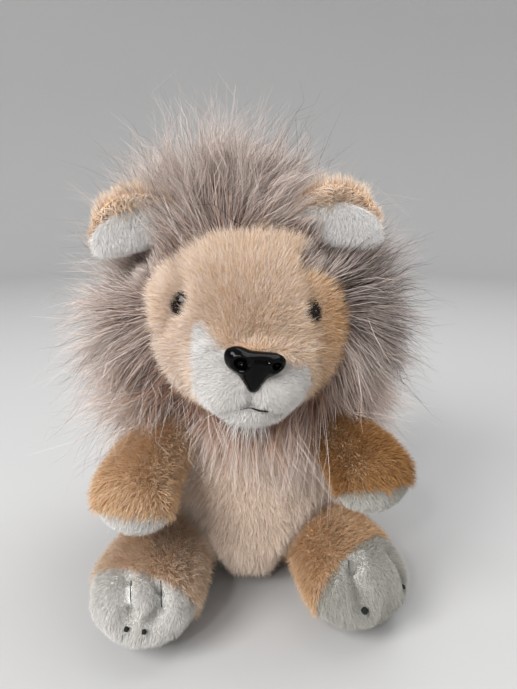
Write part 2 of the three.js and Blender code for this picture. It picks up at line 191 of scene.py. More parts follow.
def ramp(nodes, stops):
    node = nodes.new("ShaderNodeValToRGB")
    while len(node.color_ramp.elements) < len(stops):
        node.color_ramp.elements.new(0.5)
    for element, (place, code) in zip(node.color_ramp.elements, stops):
        element.position = place
        element.color = srgb(code)
    return node


# %% A finish for strands
def pile_finish(name, roots, tips, roughness=0.75, specular=0.25):
    """Roots and tips are ramps over the strand's tone. Its colour runs from one to the other."""
    finish, tree, shader = finish_named(name, roughness, specular)
    nodes, links = tree.nodes, tree.links
    place = nodes.new("ShaderNodeUVMap")
    place.uv_map = "OFBake"
    parts = nodes.new("ShaderNodeSeparateXYZ")
    links.new(place.outputs["UV"], parts.inputs[0])
    mix = nodes.new("ShaderNodeMix")
    mix.data_type = "RGBA"
    links.new(parts.outputs["Y"], mix.inputs["Factor"])
    for stops, end in ((roots, "A"), (tips, "B")):
        tone = ramp(nodes, stops)
        links.new(parts.outputs["X"], tone.inputs["Fac"])
        links.new(tone.outputs["Color"], mix.inputs[end])
    links.new(mix.outputs["Result"], shader.inputs["Base Color"])
    return finish


# %% A finish for cloth, plastic and thread
def patterned(name, stops, roughness, specular, bump=0.0, depth=0.1, pattern="ShaderNodeTexNoise", **sizes):
    """A fine pattern on the object runs between near tones and lifts the surface by up to a depth in mm."""
    finish, tree, shader = finish_named(name, roughness, specular)
    nodes, links = tree.nodes, tree.links
    place = nodes.new("ShaderNodeTexCoord")
    fine = nodes.new(pattern)
    for key, value in sizes.items():
        fine.inputs[key].default_value = value
    links.new(place.outputs["Object"], fine.inputs["Vector"])
    tone = ramp(nodes, stops)
    links.new(fine.outputs["Fac"], tone.inputs["Fac"])
    links.new(tone.outputs["Color"], shader.inputs["Base Color"])
    if bump:
        lift = nodes.new("ShaderNodeBump")
        lift.inputs["Strength"].default_value = bump
        lift.inputs["Distance"].default_value = depth * mm
        links.new(fine.outputs["Fac"], lift.inputs["Height"])
        links.new(lift.outputs["Normal"], shader.inputs["Normal"])
    return finish


def cloth_finish(name, dark, pale, scale=900, bump=0.25):
    """Backing cloth: fine fuzzy noise between two near tones."""
    return patterned(name, [(0.3, dark), (0.7, pale)], 0.9, 0.2, bump, 0.4, Scale=scale, Detail=4)


# %% [markdown]
# ## The pile
# Plush cloth is thousands of fine fibres that lean one way, with small tufts that cling together. Geometry
# Nodes suit this: points are scattered over a skin, a short curve stands on each, and its shape follows
# named attributes of the skin. `lay` is the way the pile is combed, `pile` its length, `tone` its shade and
# `thick` how densely it grows. The same tree with other inputs makes short pile, nap and the mane's long
# hair. Each curve becomes a narrow ribbon, twisted by chance, so that from any side about two in three are
# seen broadly.

# %% Short words for a node tree
class Sketch:
    """Short words for adding nodes to a tree."""

    def __init__(self, tree):
        self.tree = tree

    def wire(self, socket, value):
        if isinstance(value, bpy.types.NodeSocket):
            self.tree.links.new(value, socket)
        else:
            socket.default_value = value

    def node(self, kind, **words):
        """A new node. A word in small letters is a setting of it, and a word with a capital is an input."""
        node = self.tree.nodes.new(kind)
        for word, value in words.items():
            if word[0].isupper():
                self.wire(node.inputs[word.replace("_", " ")], value)
            else:
                setattr(node, word, value)
        return node

    def first(self, kind, **words):
        """The first output of a new node."""
        return self.node(kind, **words).outputs[0]

    def maths(self, operation, *values):
        node = self.node("ShaderNodeMath", operation=operation)
        for socket, value in zip(node.inputs, values):
            self.wire(socket, value)
        return node.outputs[0]

    def times(self, a, b):
        return self.maths("MULTIPLY", a, b)

    def vectors(self, operation, *values):
        node = self.node("ShaderNodeVectorMath", operation=operation)
        for socket, value in zip(node.inputs, values):
            self.wire(socket, value)
        return node.outputs["Value" if operation == "DOT_PRODUCT" else "Vector"]

    def scaled(self, vector, by):
        node = self.node("ShaderNodeVectorMath", operation="SCALE", Scale=by)
        self.wire(node.inputs[0], vector)
        return node.outputs["Vector"]

    def total(self, whole, *vectors):
        for vector in vectors:
            whole = self.vectors("ADD", whole, vector)
        return whole

    def named(self, name, kind="FLOAT"):
        node = self.node("GeometryNodeInputNamedAttribute", data_type=kind, Name=name)
        return node.outputs["Attribute"]

    def store(self, shape, name, value, kind="FLOAT", domain="POINT"):
        return self.first("GeometryNodeStoreNamedAttribute", data_type=kind, domain=domain, Name=name,
                          Geometry=shape, Value=value)

    def chance(self, kind, low, high, seed):
        node = self.node("FunctionNodeRandomValue", data_type=kind, Seed=seed)
        sockets = [s for s in node.inputs if s.enabled]
        self.wire(sockets[0], low)
        self.wire(sockets[1], high)
        return next(s for s in node.outputs if s.enabled)


# %% Scatter the roots and stand a strand on each
WAY = "FLOAT_VECTOR"  # the kind of an attribute that holds a place or a way


def scattered_roots(s, given):
    """Points on the skin, each remembering its place, its upright and its own chance values."""
    per_metre = s.times(given["Per square mm"], 1e6)
    scatter = s.node("GeometryNodeDistributePointsOnFaces", distribute_method="RANDOM", Mesh=given["Skin"],
                     Density=s.times(per_metre, s.named("thick")), Seed=given["Seed"])
    dots = s.store(scatter.outputs["Points"], "root", s.first("GeometryNodeInputPosition"), WAY)
    dots = s.store(dots, "upright", scatter.outputs["Normal"], WAY)
    dots = s.store(dots, "stray", s.chance(WAY, (-1,) * 3, (1,) * 3, 3), WAY)
    dots = s.store(dots, "luck", s.chance("FLOAT", 0.0, 1.0, 5))
    return s.store(dots, "twist", s.chance("FLOAT", 0.0, math.pi, 7))


def straight_strands(s, given, roots):
    """A straight curve of a few points on each root."""
    line = s.first("GeometryNodeCurvePrimitiveLine")
    parted = s.first("GeometryNodeResampleCurve", Curve=line, Count=given["Points"])
    stand = s.first("GeometryNodeInstanceOnPoints", Points=roots, Instance=parted)
    return s.first("GeometryNodeRealizeInstances", Geometry=stand)


# %% Bend the strands
RIPPLE_SCALE = 90.0
TABLE_GAP = 0.3 * mm  # no strand goes lower than this


def strand_way(s, given, cell_luck):
    """The way a strand stands: between upright and combed, with its own stray and its tuft's."""
    upright = s.scaled(s.named("upright", WAY), s.maths("SUBTRACT", 1.0, given["Lean"]))
    combed = s.scaled(s.named("lay", WAY), given["Lean"])
    stray = s.scaled(s.named("stray", WAY), given["Stray"])
    return s.vectors("NORMALIZE", s.total(upright, combed, stray, cell_luck))


def strand_length(s, given, cell_luck):
    spread = s.times(s.maths("SUBTRACT", s.named("luck"), 0.5), s.times(given["Uneven"], 2.0))
    cell_spread = s.vectors("DOT_PRODUCT", cell_luck, (0.8, 0.8, 0.8))
    length = s.times(given["Length"], s.named("pile"))
    return s.times(length, s.maths("ADD", 1.0, s.maths("ADD", spread, cell_spread)))


def strand_places(s, given, up):
    """Where each point of a strand goes, when `up` is how far up the strand it is."""
    root = s.named("root", WAY)
    cells = s.node("ShaderNodeTexVoronoi", voronoi_dimensions="3D", feature="F1", Vector=root,
                   Scale=s.maths("DIVIDE", 1.0, given["Tuft size"]))
    cell_luck = s.vectors("SUBTRACT", cells.outputs["Color"], (0.5, 0.5, 0.5))
    cell_luck = s.scaled(cell_luck, s.times(given["Tuft stray"], 2.0))
    reach = s.times(strand_length(s, given, cell_luck), up)
    late = s.times(reach, up)
    inwards = s.vectors("SUBTRACT", cells.outputs["Position"], root)
    to = s.total(root, s.scaled(strand_way(s, given, cell_luck), reach),
                 s.scaled(s.named("lay", WAY), s.times(late, given["Bend"])),
                 s.scaled((0.0, 0.0, -1.0), s.times(late, given["Droop"])),
                 s.scaled(inwards, s.times(given["Tuft pull"], s.maths("POWER", up, 1.4))))
    ripple = s.node("ShaderNodeTexNoise", noise_dimensions="3D", Vector=to, Scale=RIPPLE_SCALE, Detail=1.0)
    ripple_by = s.vectors("SUBTRACT", ripple.outputs["Color"], (0.5, 0.5, 0.5))
    to = s.total(to, s.scaled(ripple_by, s.times(reach, given["Wave"])))
    apart = s.node("ShaderNodeSeparateXYZ", Vector=to).outputs
    return s.first("ShaderNodeCombineXYZ", X=apart["X"], Y=apart["Y"],
                   Z=s.maths("MAXIMUM", apart["Z"], TABLE_GAP))


# %% Make ribbons and write the map that the finish reads
def ribbons(s, given, strands, up):
    """Ribbons that thin to the tip and are twisted by chance, with both edges told apart."""
    left_over = s.maths("SUBTRACT", 1.0, s.times(s.maths("POWER", up, 1.5), 0.88))
    thin = s.first("GeometryNodeSetCurveRadius", Curve=strands, Radius=s.times(given["Width"], left_over))
    turned = s.first("GeometryNodeSetCurveTilt", Curve=thin, Tilt=s.named("twist"))
    curves = s.store(turned, "along", up)
    section = s.first("GeometryNodeCurvePrimitiveLine", Start=(-0.5, 0, 0), End=(0.5, 0, 0))
    profile = s.store(section, "side", s.first("GeometryNodeSplineParameter"))
    return s.first("GeometryNodeCurveToMesh", Curve=curves, Profile_Curve=profile,
                   Scale=s.first("GeometryNodeInputRadius"))


def strand_map(s, given):
    """The strand's tone along one way of the map, and how far up the strand along the other."""
    chance_tone = s.times(s.maths("SUBTRACT", s.named("luck"), 0.5), given["Tone spread"])
    tone = s.maths("ADD", s.named("tone"), s.maths("ADD", chance_tone, given["Tone shift"]))
    tone = s.maths("MINIMUM", s.maths("MAXIMUM", tone, 0.004), 0.99)
    tone = s.maths("ADD", tone, s.times(s.named("side"), 0.004))
    return s.first("ShaderNodeCombineXYZ", X=tone, Y=s.named("along"))


# %% Put the tree together
NUMBERS = ["Length", "Width", "Per square mm", "Lean", "Bend", "Stray", "Uneven", "Tuft size", "Tuft pull",
           "Tuft stray", "Droop", "Wave", "Tone spread", "Tone shift"]


def build_pile_tree():
    tree = bpy.data.node_groups.new("pile", "GeometryNodeTree")
    inputs = [("Skin", "Geometry")] + [(name, "Float") for name in NUMBERS]
    inputs += [("Points", "Int"), ("Seed", "Int"), ("Finish", "Material")]
    for name, kind in inputs:
        tree.interface.new_socket(name, in_out="INPUT", socket_type="NodeSocket" + kind)
    tree.interface.new_socket("Pile", in_out="OUTPUT", socket_type="NodeSocketGeometry")
    s = Sketch(tree)
    given = s.node("NodeGroupInput").outputs
    up = s.first("GeometryNodeSplineParameter")
    strands = straight_strands(s, given, scattered_roots(s, given))
    bent = s.first("GeometryNodeSetPosition", Geometry=strands, Position=strand_places(s, given, up))
    mapped = s.store(ribbons(s, given, bent, up), "OFBake", strand_map(s, given), "FLOAT2", "CORNER")
    whole = s.first("GeometryNodeRealizeInstances", Geometry=mapped)
    coloured = s.first("GeometryNodeSetMaterial", Geometry=whole, Material=given["Finish"])
    s.node("NodeGroupOutput", Pile=coloured)
    return tree


pile_tree = build_pile_tree()
print("pile tree:", len(pile_tree.nodes), "nodes")

# %% [markdown]
# ## The finishes of pile and cloth
# Tan, cream and white pile, and the mane's two-tone hair. The tan runs from a pale gold at a low tone to a
# deep golden brown at a high one; its darkest end is painted shade, and so is the grey end of the white.
# Roots are darker than tips, because less light reaches them and the dye is deeper.

# %% Make the finishes
PILE = {  # a finish for each kind of pile, and below one for each kind of cloth
    # painted shade: the tan's darkest stop, for the right arm and the shaded right of the face
    "tan": pile_finish("tan_pile", [(0, "e2cdbd"), (0.4, "d8b48a"), (0.75, "b88a56"), (1, "8c6236")],
                       [(0, "f4e8e0"), (0.4, "ecd2b0"), (0.75, "dcb084"), (1, "a67c4c")]),
    "cream": pile_finish("cream_pile", [(0, "e9d6c6"), (1, "c89c6c")], [(0, "faeee2"), (1, "e8c398")]),
    # painted shade: the white's grey stops, for the palms, the feet and the toes' grooves
    "white": pile_finish("white_pile", [(0, "e6e4e2"), (0.6, "d2cdc8"), (1, "a3a197")],
                         [(0, "faf9f8"), (0.6, "f0eeeb"), (1, "c6c4bb")]),
    "mane": pile_finish(
        # the warm end at tone 0 is partly painted shade, darkened for the bib under the chin
        "mane_hair", [(0, "8e5c40"), (0.28, "a68e84"), (0.55, "96867e"), (0.85, "4a3a30"), (1, "241c19")],
        [(0, "dcb89e"), (0.28, "f3e7e0"), (0.55, "e2d4cb"), (0.85, "a3928a"), (1, "3a2e2a")], 0.6, 0.3),
}
CLOTH = {
    "tan": cloth_finish("tan_cloth", "d8b48c", "e6c8a4"),
    "cream": cloth_finish("cream_cloth", "dcc2a8", "ead4be"),
    "white": cloth_finish("white_cloth", "e2e0dd", "f0efec"),
    "mane": cloth_finish("mane_cloth", "6a5a53", "96877f", scale=500, bump=0.5),
}
print("piles and cloths:", ", ".join(PILE))

# %% Put a finish on a piece
def coat(piece, finish):
    piece.data.materials.clear()
    piece.data.materials.append(finish)


def smooth(piece):
    for face in piece.data.polygons:
        face.use_smooth = True


def dressed(piece, finish, body, slot, *nodes):
    """A finished piece that moves with a body and stands in for some solids."""
    coat(piece, finish)
    smooth(piece)
    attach(piece, body)
    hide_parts(*nodes)


def clothed(piece, cloth, body, fill, *nodes):
    """A stuffed skin in the finish of its cloth."""
    dressed(piece, CLOTH[cloth], body, cloth, *nodes)


# %% [markdown]
# ## Growing and combing
# A piece of pile is a copy of a skin with the tree on it, baked into one plain mesh. Strands that would
# reach out of the room that the lion has are left out whole. A comb writes on the skin which way the pile
# lies, how long and how dense it is and what shade it has, each as a number or as a rule of the place.

# %% Grow pile on a skin
PLAIN = {  # what a kind of pile has where its own values don't say
    "Bend": 0.3, "Stray": 0.25, "Uneven": 0.25, "Tuft size": 4, "Tuft pull": 0.25, "Tuft stray": 0.1,
    "Droop": 0.0, "Wave": 0.2, "Tone spread": 0.2, "Tone shift": 0.0,
}
IN_MM = ("Length", "Width", "Tuft size")
ROOM = (np.array((-91, -90, 0.0)), np.array((88, 60, 214.0)))  # in mm, where the dressed lion may reach
ONLY_FOR_GROWING = ("root", "upright", "stray", "luck", "twist", "lay", "pile", "tone", "thick", "along",
                    "side", "cut")


def thinned(mesh, kind, chosen):
    """Takes the chosen points or faces out of a mesh."""
    net = bmesh.new()
    net.from_mesh(mesh)
    net.verts.ensure_lookup_table()
    bmesh.ops.delete(net, geom=chosen(net), context=kind)
    net.to_mesh(mesh)
    net.free()


def trimmed(piece, points_each):
    """Leaves out each strand that reaches out of the room. A strand is a ribbon with two edges."""
    each = points_each * 2
    points = (points_of(piece.data) / mm).reshape(-1, each, 3)
    out = ((points < ROOM[0]) | (points > ROOM[1])).any(axis=(1, 2))
    if out.any():
        thinned(piece.data, "VERTS",
                lambda net: [net.verts[i * each + k] for i in np.flatnonzero(out) for k in range(each)])
    return int(out.sum())


def grow(name, skin, kind, body, like=None, keep_cut=False, **wishes):
    """A new piece of pile on a combed skin. It is one plain mesh that moves with the skin's body."""
    piece = link(skin.data.copy(), name)
    if "cut" in piece.data.attributes and not keep_cut:
        thinned(piece.data, "FACES", lambda net: [f for f in net.faces if f[net.faces.layers.int["cut"]]])
    wishes = {key.replace("_", " "): value for key, value in {**(like or {}), **wishes}.items()}
    pile = piece.modifiers.new("pile", "NODES")
    pile.node_group = pile_tree
    ids = {item.name: item.identifier for item in pile_tree.interface.items_tree if item.in_out == "INPUT"}
    for key, value in {**PLAIN, **wishes}.items():
        pile[ids[key]] = value * mm if key in IN_MM else value
    pile[ids["Finish"]] = PILE[kind]
    baked(piece)
    left_out = trimmed(piece, wishes["Points"])
    for spare in [a.name for a in piece.data.attributes if a.name in ONLY_FOR_GROWING]:
        piece.data.attributes.remove(piece.data.attributes[spare])
    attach(piece, body)
    print(f"{name}: {2 * len(piece.data.polygons)} triangles, {left_out} strands left out")


# %% Comb a skin
LAID_FLAT = 0.85  # the share of a way along the normal that combing takes out


def stored(mesh, name, values):
    """Writes a number, or a way of three numbers, on each point of a mesh."""
    kind, field = (WAY, "vector") if values.ndim == 2 else ("FLOAT", "value")
    layer = mesh.attributes.get(name) or mesh.attributes.new(name, kind, "POINT")
    layer.data.foreach_set(field, values.astype(np.float32).ravel())


def comb(skin, lay, pile=1.0, tone=0.5, thick=1.0):
    """Stores how the pile lies on a skin. A rule is a function of the points and normals, in mm."""
    mesh = skin.data
    points, normals = points_of(mesh) / mm, normals_of(mesh)
    way = lay(points, normals)
    way = way - normals * (way * normals).sum(1, keepdims=True) * LAID_FLAT
    way /= np.linalg.norm(way, axis=1, keepdims=True) + 1e-9
    stored(mesh, "lay", way)
    for name, rule in (("pile", pile), ("tone", tone), ("thick", thick)):
        values = rule(points, normals) if callable(rule) else rule
        stored(mesh, name, np.broadcast_to(values, len(points)))


def patch_of(skin, name, **values):
    """A copy of a skin for a second kind of pile, with some of its combing written anew."""
    patch = link(skin.data.copy(), name)
    for key, value in values.items():
        stored(patch.data, key, value)
    return patch


# %% Rules for combing
def toward(goal):
    return lambda p, n: np.asarray(goal, float) - p


def away_from(centre):
    return lambda p, n: p - np.asarray(centre, float)


def steady(way):
    return lambda p, n: np.broadcast_to(np.asarray(way, float), p.shape)


def step(values, low, high):
    """0 up to a low value and 1 from a high one, with a soft rise between."""
    t = np.clip((values - low) / (high - low), 0, 1)
    return t * t * (3 - 2 * t)


def beside(values, middle, full, gone):
    """1 near a middle value, and 0 from a greater distance on."""
    return step(-np.abs(values - middle), -gone, -full)


def bell(distance, width):
    """1 on a line or spot, sinking softly beside it."""
    return np.exp(-(distance / width) ** 2)


def far_from(spot, p):
    return np.linalg.norm(p - np.array(spot), axis=1)


def less_under(n, low, high, less=1.0):
    """1 where a skin faces sideways or up, and less by a share where it faces down."""
    return 1 - less * step(-n[:, 2], low, high)


# %% [markdown]
# ## Seams
# A cap of other cloth is sewn on by a seam all round. The skin is cut in two along the seam's plane and
# both cut faces are closed, so each cloth is a body of its own. The cut faces are marked, since no pile
# grows there, and none grows either where a skin lies against its neighbour.

# %% Cut along a seam
SEAM_GAP = 0.1  # mm, from the seam's plane to each cut face


def split_by(piece, point, normal, near_name, far_name):
    """Cuts a skin in two along a seam. The first part is behind the plane and the second ahead of it."""
    parts = []
    for name, facing in ((near_name, 1), (far_name, -1)):
        net = bmesh.new()
        net.from_mesh(piece.data)
        cut = bmesh.ops.bisect_plane(
            net, geom=net.verts[:] + net.edges[:] + net.faces[:], dist=1e-7,
            plane_co=Vector(point) - Vector(normal) * facing * SEAM_GAP * mm,
            plane_no=Vector(normal) * facing, clear_outer=True,
        )
        rim = [e for e in cut["geom_cut"] if isinstance(e, bmesh.types.BMEdge)]
        mark = net.faces.layers.int.new("cut")
        for face in bmesh.ops.holes_fill(net, edges=rim)["faces"]:
            face[mark] = 1
        bmesh.ops.triangulate(net, faces=[f for f in net.faces if len(f.verts) > 4])
        bmesh.ops.recalc_face_normals(net, faces=net.faces[:])
        parts.append(piece_of(net, name))
    bpy.data.objects.remove(piece)
    return parts


# %% Find what lies near
def surface_of(*meshes):
    """A tree of faces that tells where the nearest one lies, or the first one along a ray."""
    net = bmesh.new()
    for mesh in meshes:
        net.from_mesh(mesh)
    tree = BVHTree.FromBMesh(net)
    net.free()
    return tree


def distance_to(nodes, points):
    """How far each point, in mm, lies from the surface of some solids."""
    tree = surface_of(*[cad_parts[node].data for node in nodes])
    return np.array([tree.find_nearest(Vector(p * mm))[3] / mm for p in points])


def free_of(nodes, points, low=0.8, high=1.8):
    return step(distance_to(nodes, points), low, high)


def near_line(line, points):
    """The distance of each point from a line of points, in mm."""
    dense = np.concatenate([np.linspace(a, b, 8) for a, b in zip(line, line[1:])])
    return np.sqrt(((points[:, None, :] - dense[None]) ** 2).sum(2)).min(1)


def pushed(skin, rule):
    """Moves each point along its normal by what the rule gives, in mm."""
    mesh = skin.data
    points, normals = points_of(mesh), normals_of(mesh)
    by = rule(points / mm, normals)
    set_points(mesh, points + normals * by[:, None] * mm)


# %% [markdown]
# ## Plumping
# Filling presses a skin out evenly from the inside. A short cloth simulation on a coarse copy finds how the
# skin gives way, and that movement, capped, is handed to the fine skin. Where a skin lies against a
# neighbour or rests on the table it stays put.

# %% Blow up a coarse copy
COARSE = 5  # mm, the squares of the coarse copy
SHRUNK = 0.8  # mm, how much the copy is drawn in before it is blown up
TIME_STEPS = 20


def blown_up(skin):
    """The points of a coarse copy of a skin, and how far the pressure moves each of them, in metres."""
    pad = remeshed(link(skin.data.copy(), "pad"), COARSE)
    start = points_of(pad.data)
    set_points(pad.data, start - normals_of(pad.data) * SHRUNK * mm)
    cloth = pad.modifiers.new("cloth", "CLOTH")
    cloth.settings.quality = 4
    cloth.settings.use_pressure = True
    cloth.settings.uniform_pressure_force = 4
    cloth.settings.effector_weights.gravity = 0
    scene = bpy.context.scene
    for time in range(1, TIME_STEPS + 1):
        scene.frame_set(time)
    shape = pad.evaluated_get(bpy.context.evaluated_depsgraph_get()).to_mesh()
    moved = points_of(shape) - start
    scene.frame_set(1)
    bpy.data.objects.remove(pad)
    return start, moved


# %% Hand the movement to the fine skin
KEPT_FREE = 0.4  # mm, from a neighbour and the most that a skin gives way inwards
NEAREST = 6  # points of the coarse copy that each fine point follows


def plumped(skin, neighbours, cap=1.2):
    """Plumps a skin by up to a cap in mm, less beside its neighbours and near the table."""
    start, moved = blown_up(skin)
    tree = KDTree(len(start))
    for i, p in enumerate(start):
        tree.insert(p, i)
    tree.balance()
    points, normals = points_of(skin.data), normals_of(skin.data)
    by = np.zeros(len(points))
    for i, p in enumerate(points):
        found = tree.find_n(p, NEAREST)
        weights = np.array([1 / (d + mm) for _, _, d in found])
        mean = (moved[[k for _, k, _ in found]] * weights[:, None]).sum(0) / weights.sum()
        by[i] = mean @ normals[i]
    room = np.minimum(cap, np.maximum(0, distance_to(neighbours, points / mm) - KEPT_FREE))
    room *= step(points[:, 2] / mm, 0.5, 6)
    by = np.clip(by / mm, -KEPT_FREE, room)
    set_points(skin.data, points + normals * by[:, None] * mm)
    print(f"{skin.name}: plumped by up to {by.max():.2f} mm, {by.mean():.2f} mm on average")
    relaxed(skin, 4)


# %% [markdown]
# ## Torso
# The belly is a cream cloth with longer pile, combed straight down. It is an egg, sewn flat where the arms
# and legs start, so the skin comes from the torso's solids as they are. The pile turns more golden towards
# the back, below the mane and in a touch at the front of the left flank. Short pile here and on the other
# pieces is made of straight strands with two points each, which keeps so many of them light.

# %% Torso
LIMBS = ["arm_left", "arm_right", "leg_left", "leg_right"]
AGAINST_TORSO = [f"{limb}_shell" for limb in LIMBS] + ["head_shell", "tail"]


def torso_tone(p, n):
    back, top = step(p[:, 1], -5, 30), step(p[:, 2], 58, 72)
    left_front = 0.6 * step(-p[:, 0], 25, 33) * (1 - step(p[:, 1], -14, 2))
    return np.clip(0.04 + 0.25 * back + 0.6 * top + left_front, 0, 0.9)


torso = skin_from("torso_skin", ["torso_shell", "torso_filling", "bean_pouch"], 1.8)
plumped(torso, AGAINST_TORSO)
pushed(torso, lambda p, n: -2.6 - 3.5 * step(-p[:, 2], -26, -4) * step(np.hypot(p[:, 0], p[:, 1]), 12, 26))
comb(torso, steady((0, -0.1, -1)), pile=lambda p, n: less_under(n, 0.5, 0.95, 0.75), tone=torso_tone,
     thick=lambda p, n: less_under(n, 0.9, 0.98) * free_of(AGAINST_TORSO, p)
     * (1 - 0.4 * step(p[:, 1], 0, 20)))
clothed(torso, "cream", "torso", 0.8, "torso_shell", "torso_filling")
grow("torso_pile", torso, "cream", "torso", Length=3.8, Width=0.23, Per_square_mm=6.2, Lean=0.36, Bend=0.25,
     Stray=0.48, Tuft_size=3.5, Tuft_pull=0.06, Tuft_stray=0.08, Tone_spread=0.6, Points=2, Seed=11)

# %% [markdown]
# ## Arms and legs
# Each limb is one stuffed tube with a rounded end. Its skin is cut in two at the seam of the palm or the
# foot: tan on the one side and white on the other. The tan pile is combed from the shoulder or hip to the
# tip, and the white nap is shorter. The toes are drawn in by thread, so the cloth dips along each thread.

# %% Where the limbs are
LINES = {  # root and tip, how far before the tip the seam lies, and how the seam leans down and outwards
    "arm_left": ((-25, -3, 70), (-42, -71, 54), 6.5, 1.5, 0),
    "arm_right": ((25, -3, 71), (48, -67, 61), 8, 1.5, 0),
    "leg_left": ((-28, 2, 18.5), (-42, -77, 18.5), 20.5, 0.45, -0.12),
    "leg_right": ((24, 2, 18.5), (47.5, -67, 18.5), 21.5, 0.28, 0.6),
}
# The right arm's deep tan and the grey of the palms' and feet's white are painted shade.
LIMB_TONES_WITH_PAINTED_SHADE = {"arm_left": (0.38, 0.6), "arm_right": (0.97, 0.85), "leg_left": (0.15, 0.62),
          "leg_right": (0.44, 0.95)}  # of the tan and of the white pile
ENDS = {"arm_left": "palm_left_patch", "arm_right": "palm_right_patch", "leg_left": "foot_left_cap",
        "leg_right": "foot_right_cap"}
SUNK = {"arm_left": (3.0, 3.0), "arm_right": (3.0, 4.5), "leg_left": (2.6, 0.6),
        "leg_right": (2.6, 0.6)}  # mm for the pile's own thickness, and more on the underside


def end_of(limb):
    """The palm or the foot of a limb, as its pieces are named."""
    return ENDS[limb].rsplit("_", 1)[0]


def lies_against(limb):
    """The solids that a limb touches or nearly touches."""
    others = ["torso_shell"] + [f"{other}_shell" for other in LIMBS if other != limb]
    if limb.startswith("arm"):
        return others + ["head_shell", "mane", ENDS[limb.replace("arm", "leg")]]
    return others + [ENDS[limb.replace("leg", "arm")]]


print("limbs:", ", ".join(LINES))

# %% Where the toes are
# For each foot: the top and bottom of each toe's stitch, the way it is laid on the foot, how deep its groove
# is and how far the knot stands out.
STITCHES = {
    "leg_left": {
        "inner": ((-31.9, -65.8, 31.2), (-31.2, -71, 24), (0, 0.8, -0.6), 4.6, 1.5),
        "outer": ((-43.1, -65.2, 30.8), (-41.8, -71, 24.5), (0, 0.8, -0.6), 4.6, 1.5),
    },
    "leg_right": {
        "inner": ((39.3, -56.7, 33), (39.4, -61, 29.5), (-0.25, 0.76, -0.6), 4.6, 1.5),
        "outer": ((57, -50, 32), (61.5, -54, 23), (-0.7, 0.6, -0.4), 1.6, 0.2),
    },
}


def toe_lines(limb):
    """Each toe's groove along its stitch and on down to its knot, with its depth. An arm has none."""
    side = limb.split("_")[1]
    return [(np.array([top, bottom, middle_of(f"toe_knot_{side}_{where}")], float), deep)
            for where, (top, bottom, _, deep, _) in STITCHES.get(limb, {}).items()]


# %% Sew the limbs
PALM_SEAM_BACK = 3.4  # mm, how much further back an arm's seam lies, square to it


def sewn_limb(limb, others, toes):
    """The tan and the white skin of a limb, and the way from its root to its tip."""
    root, tip, inwards, down, outside = LINES[limb]
    root, tip = np.array(root, float), np.array(tip, float)
    along = (tip - root) / np.linalg.norm(tip - root)
    normal = along + (outside, 0, -down)
    normal /= np.linalg.norm(normal)
    whole = skin_from(f"{limb}_whole", [f"{limb}_shell", ENDS[limb], f"{limb}_filling"], 1.5)
    plumped(whole, others)
    sunk, sunk_below = SUNK[limb]
    pushed(whole, lambda p, n: -sunk - sunk_below * step(-n[:, 2], 0, 0.9))
    seam = (tip - inwards * along - normal * (PALM_SEAM_BACK if limb.startswith("arm") else 0)) * mm
    tan_skin, white_skin = split_by(whole, seam, normal, f"{limb}_skin", end_of(limb) + "_skin")
    if toes:
        pushed(white_skin, lambda p, n: step((p - seam / mm) @ normal, 0.5, 4.5) * sum(
            0.9 * bell(near_line(line, p) - 7, 3) - deep * bell(near_line(line, p), 2.8)
            for line, deep in toes))
    return tan_skin, white_skin, along


# %% Comb the limbs and grow their pile
SHORT_PILE = {"Width": 0.28, "Lean": 0.45, "Bend": 0.25, "Stray": 0.28, "Tuft_size": 3, "Tuft_pull": 0.08,
              "Tuft_stray": 0.05, "Tone_spread": 0.5, "Points": 2}
NAP = {"Width": 0.18, "Lean": 0.35, "Stray": 0.26, "Tuft_pull": 0.04, "Tuft_stray": 0.03, "Tone_spread": 0.2,
       "Points": 2}


def made_limb(limb):
    others, toes = lies_against(limb), toe_lines(limb)
    tan_shade, white_shade = LIMB_TONES_WITH_PAINTED_SHADE[limb]
    tan_skin, white_skin, along = sewn_limb(limb, others, toes)

    # painted light: the left arm's tan is paler at its top, where the mane's shadow falls
    def arm_left_tone_painted_light(p, n):
        return tan_shade + (0.06 - 0.08 * step(p[:, 2], 52, 72))

    def short_below(p, n):
        return less_under(n, 0.6, 0.95, 0.7)

    def off_toes(p, low, high, least=0.0):
        """1 away from the toes' grooves, and least along them."""
        return np.prod([least + (1 - least) * step(near_line(line, p), low, high) for line, _ in toes], 0)

    def open_sides(p, n):
        return free_of(others, p) * less_under(n, 0.93, 0.99)

    comb(tan_skin, steady(along), pile=short_below if toes else 1.0,
         tone=arm_left_tone_painted_light if limb == "arm_left" else tan_shade, thick=open_sides)
    comb(white_skin, steady(along + (0, 0, -0.4)),
         pile=(lambda p, n: short_below(p, n) * off_toes(p, 2, 6, 0.3)) if toes else 1.0,
         # painted shade: the white is greyer along the toes' grooves
         tone=lambda p, n: white_shade + sum(0.45 * bell(near_line(line, p), 2.2) for line, _ in toes),
         thick=lambda p, n: open_sides(p, n) * off_toes(p, 0.6, 1.8))
    clothed(tan_skin, "tan", limb, 0.8, f"{limb}_shell", f"{limb}_filling")
    clothed(white_skin, "white", limb, 0.8, ENDS[limb])
    grow(f"{limb}_pile", tan_skin, "tan", limb, SHORT_PILE, Length=4.4, Per_square_mm=6.4, Seed=21)
    grow(end_of(limb) + "_nap", white_skin, "white", limb, NAP, Length=2.2, Per_square_mm=15, Tuft_size=2.5,
         Seed=31)


for limb in LIMBS:
    made_limb(limb)

# %% [markdown]
# ## Head and muzzle
# The stuffed head is a broad ball with a high brow. The snap-in eyes pull the cloth in, so that a valley
# runs down past each eye between the brow and a plump cheek. The muzzle has two soft lobes with a groove
# below the nose. Where tan ends and white begins is a matter of which pile grows there.

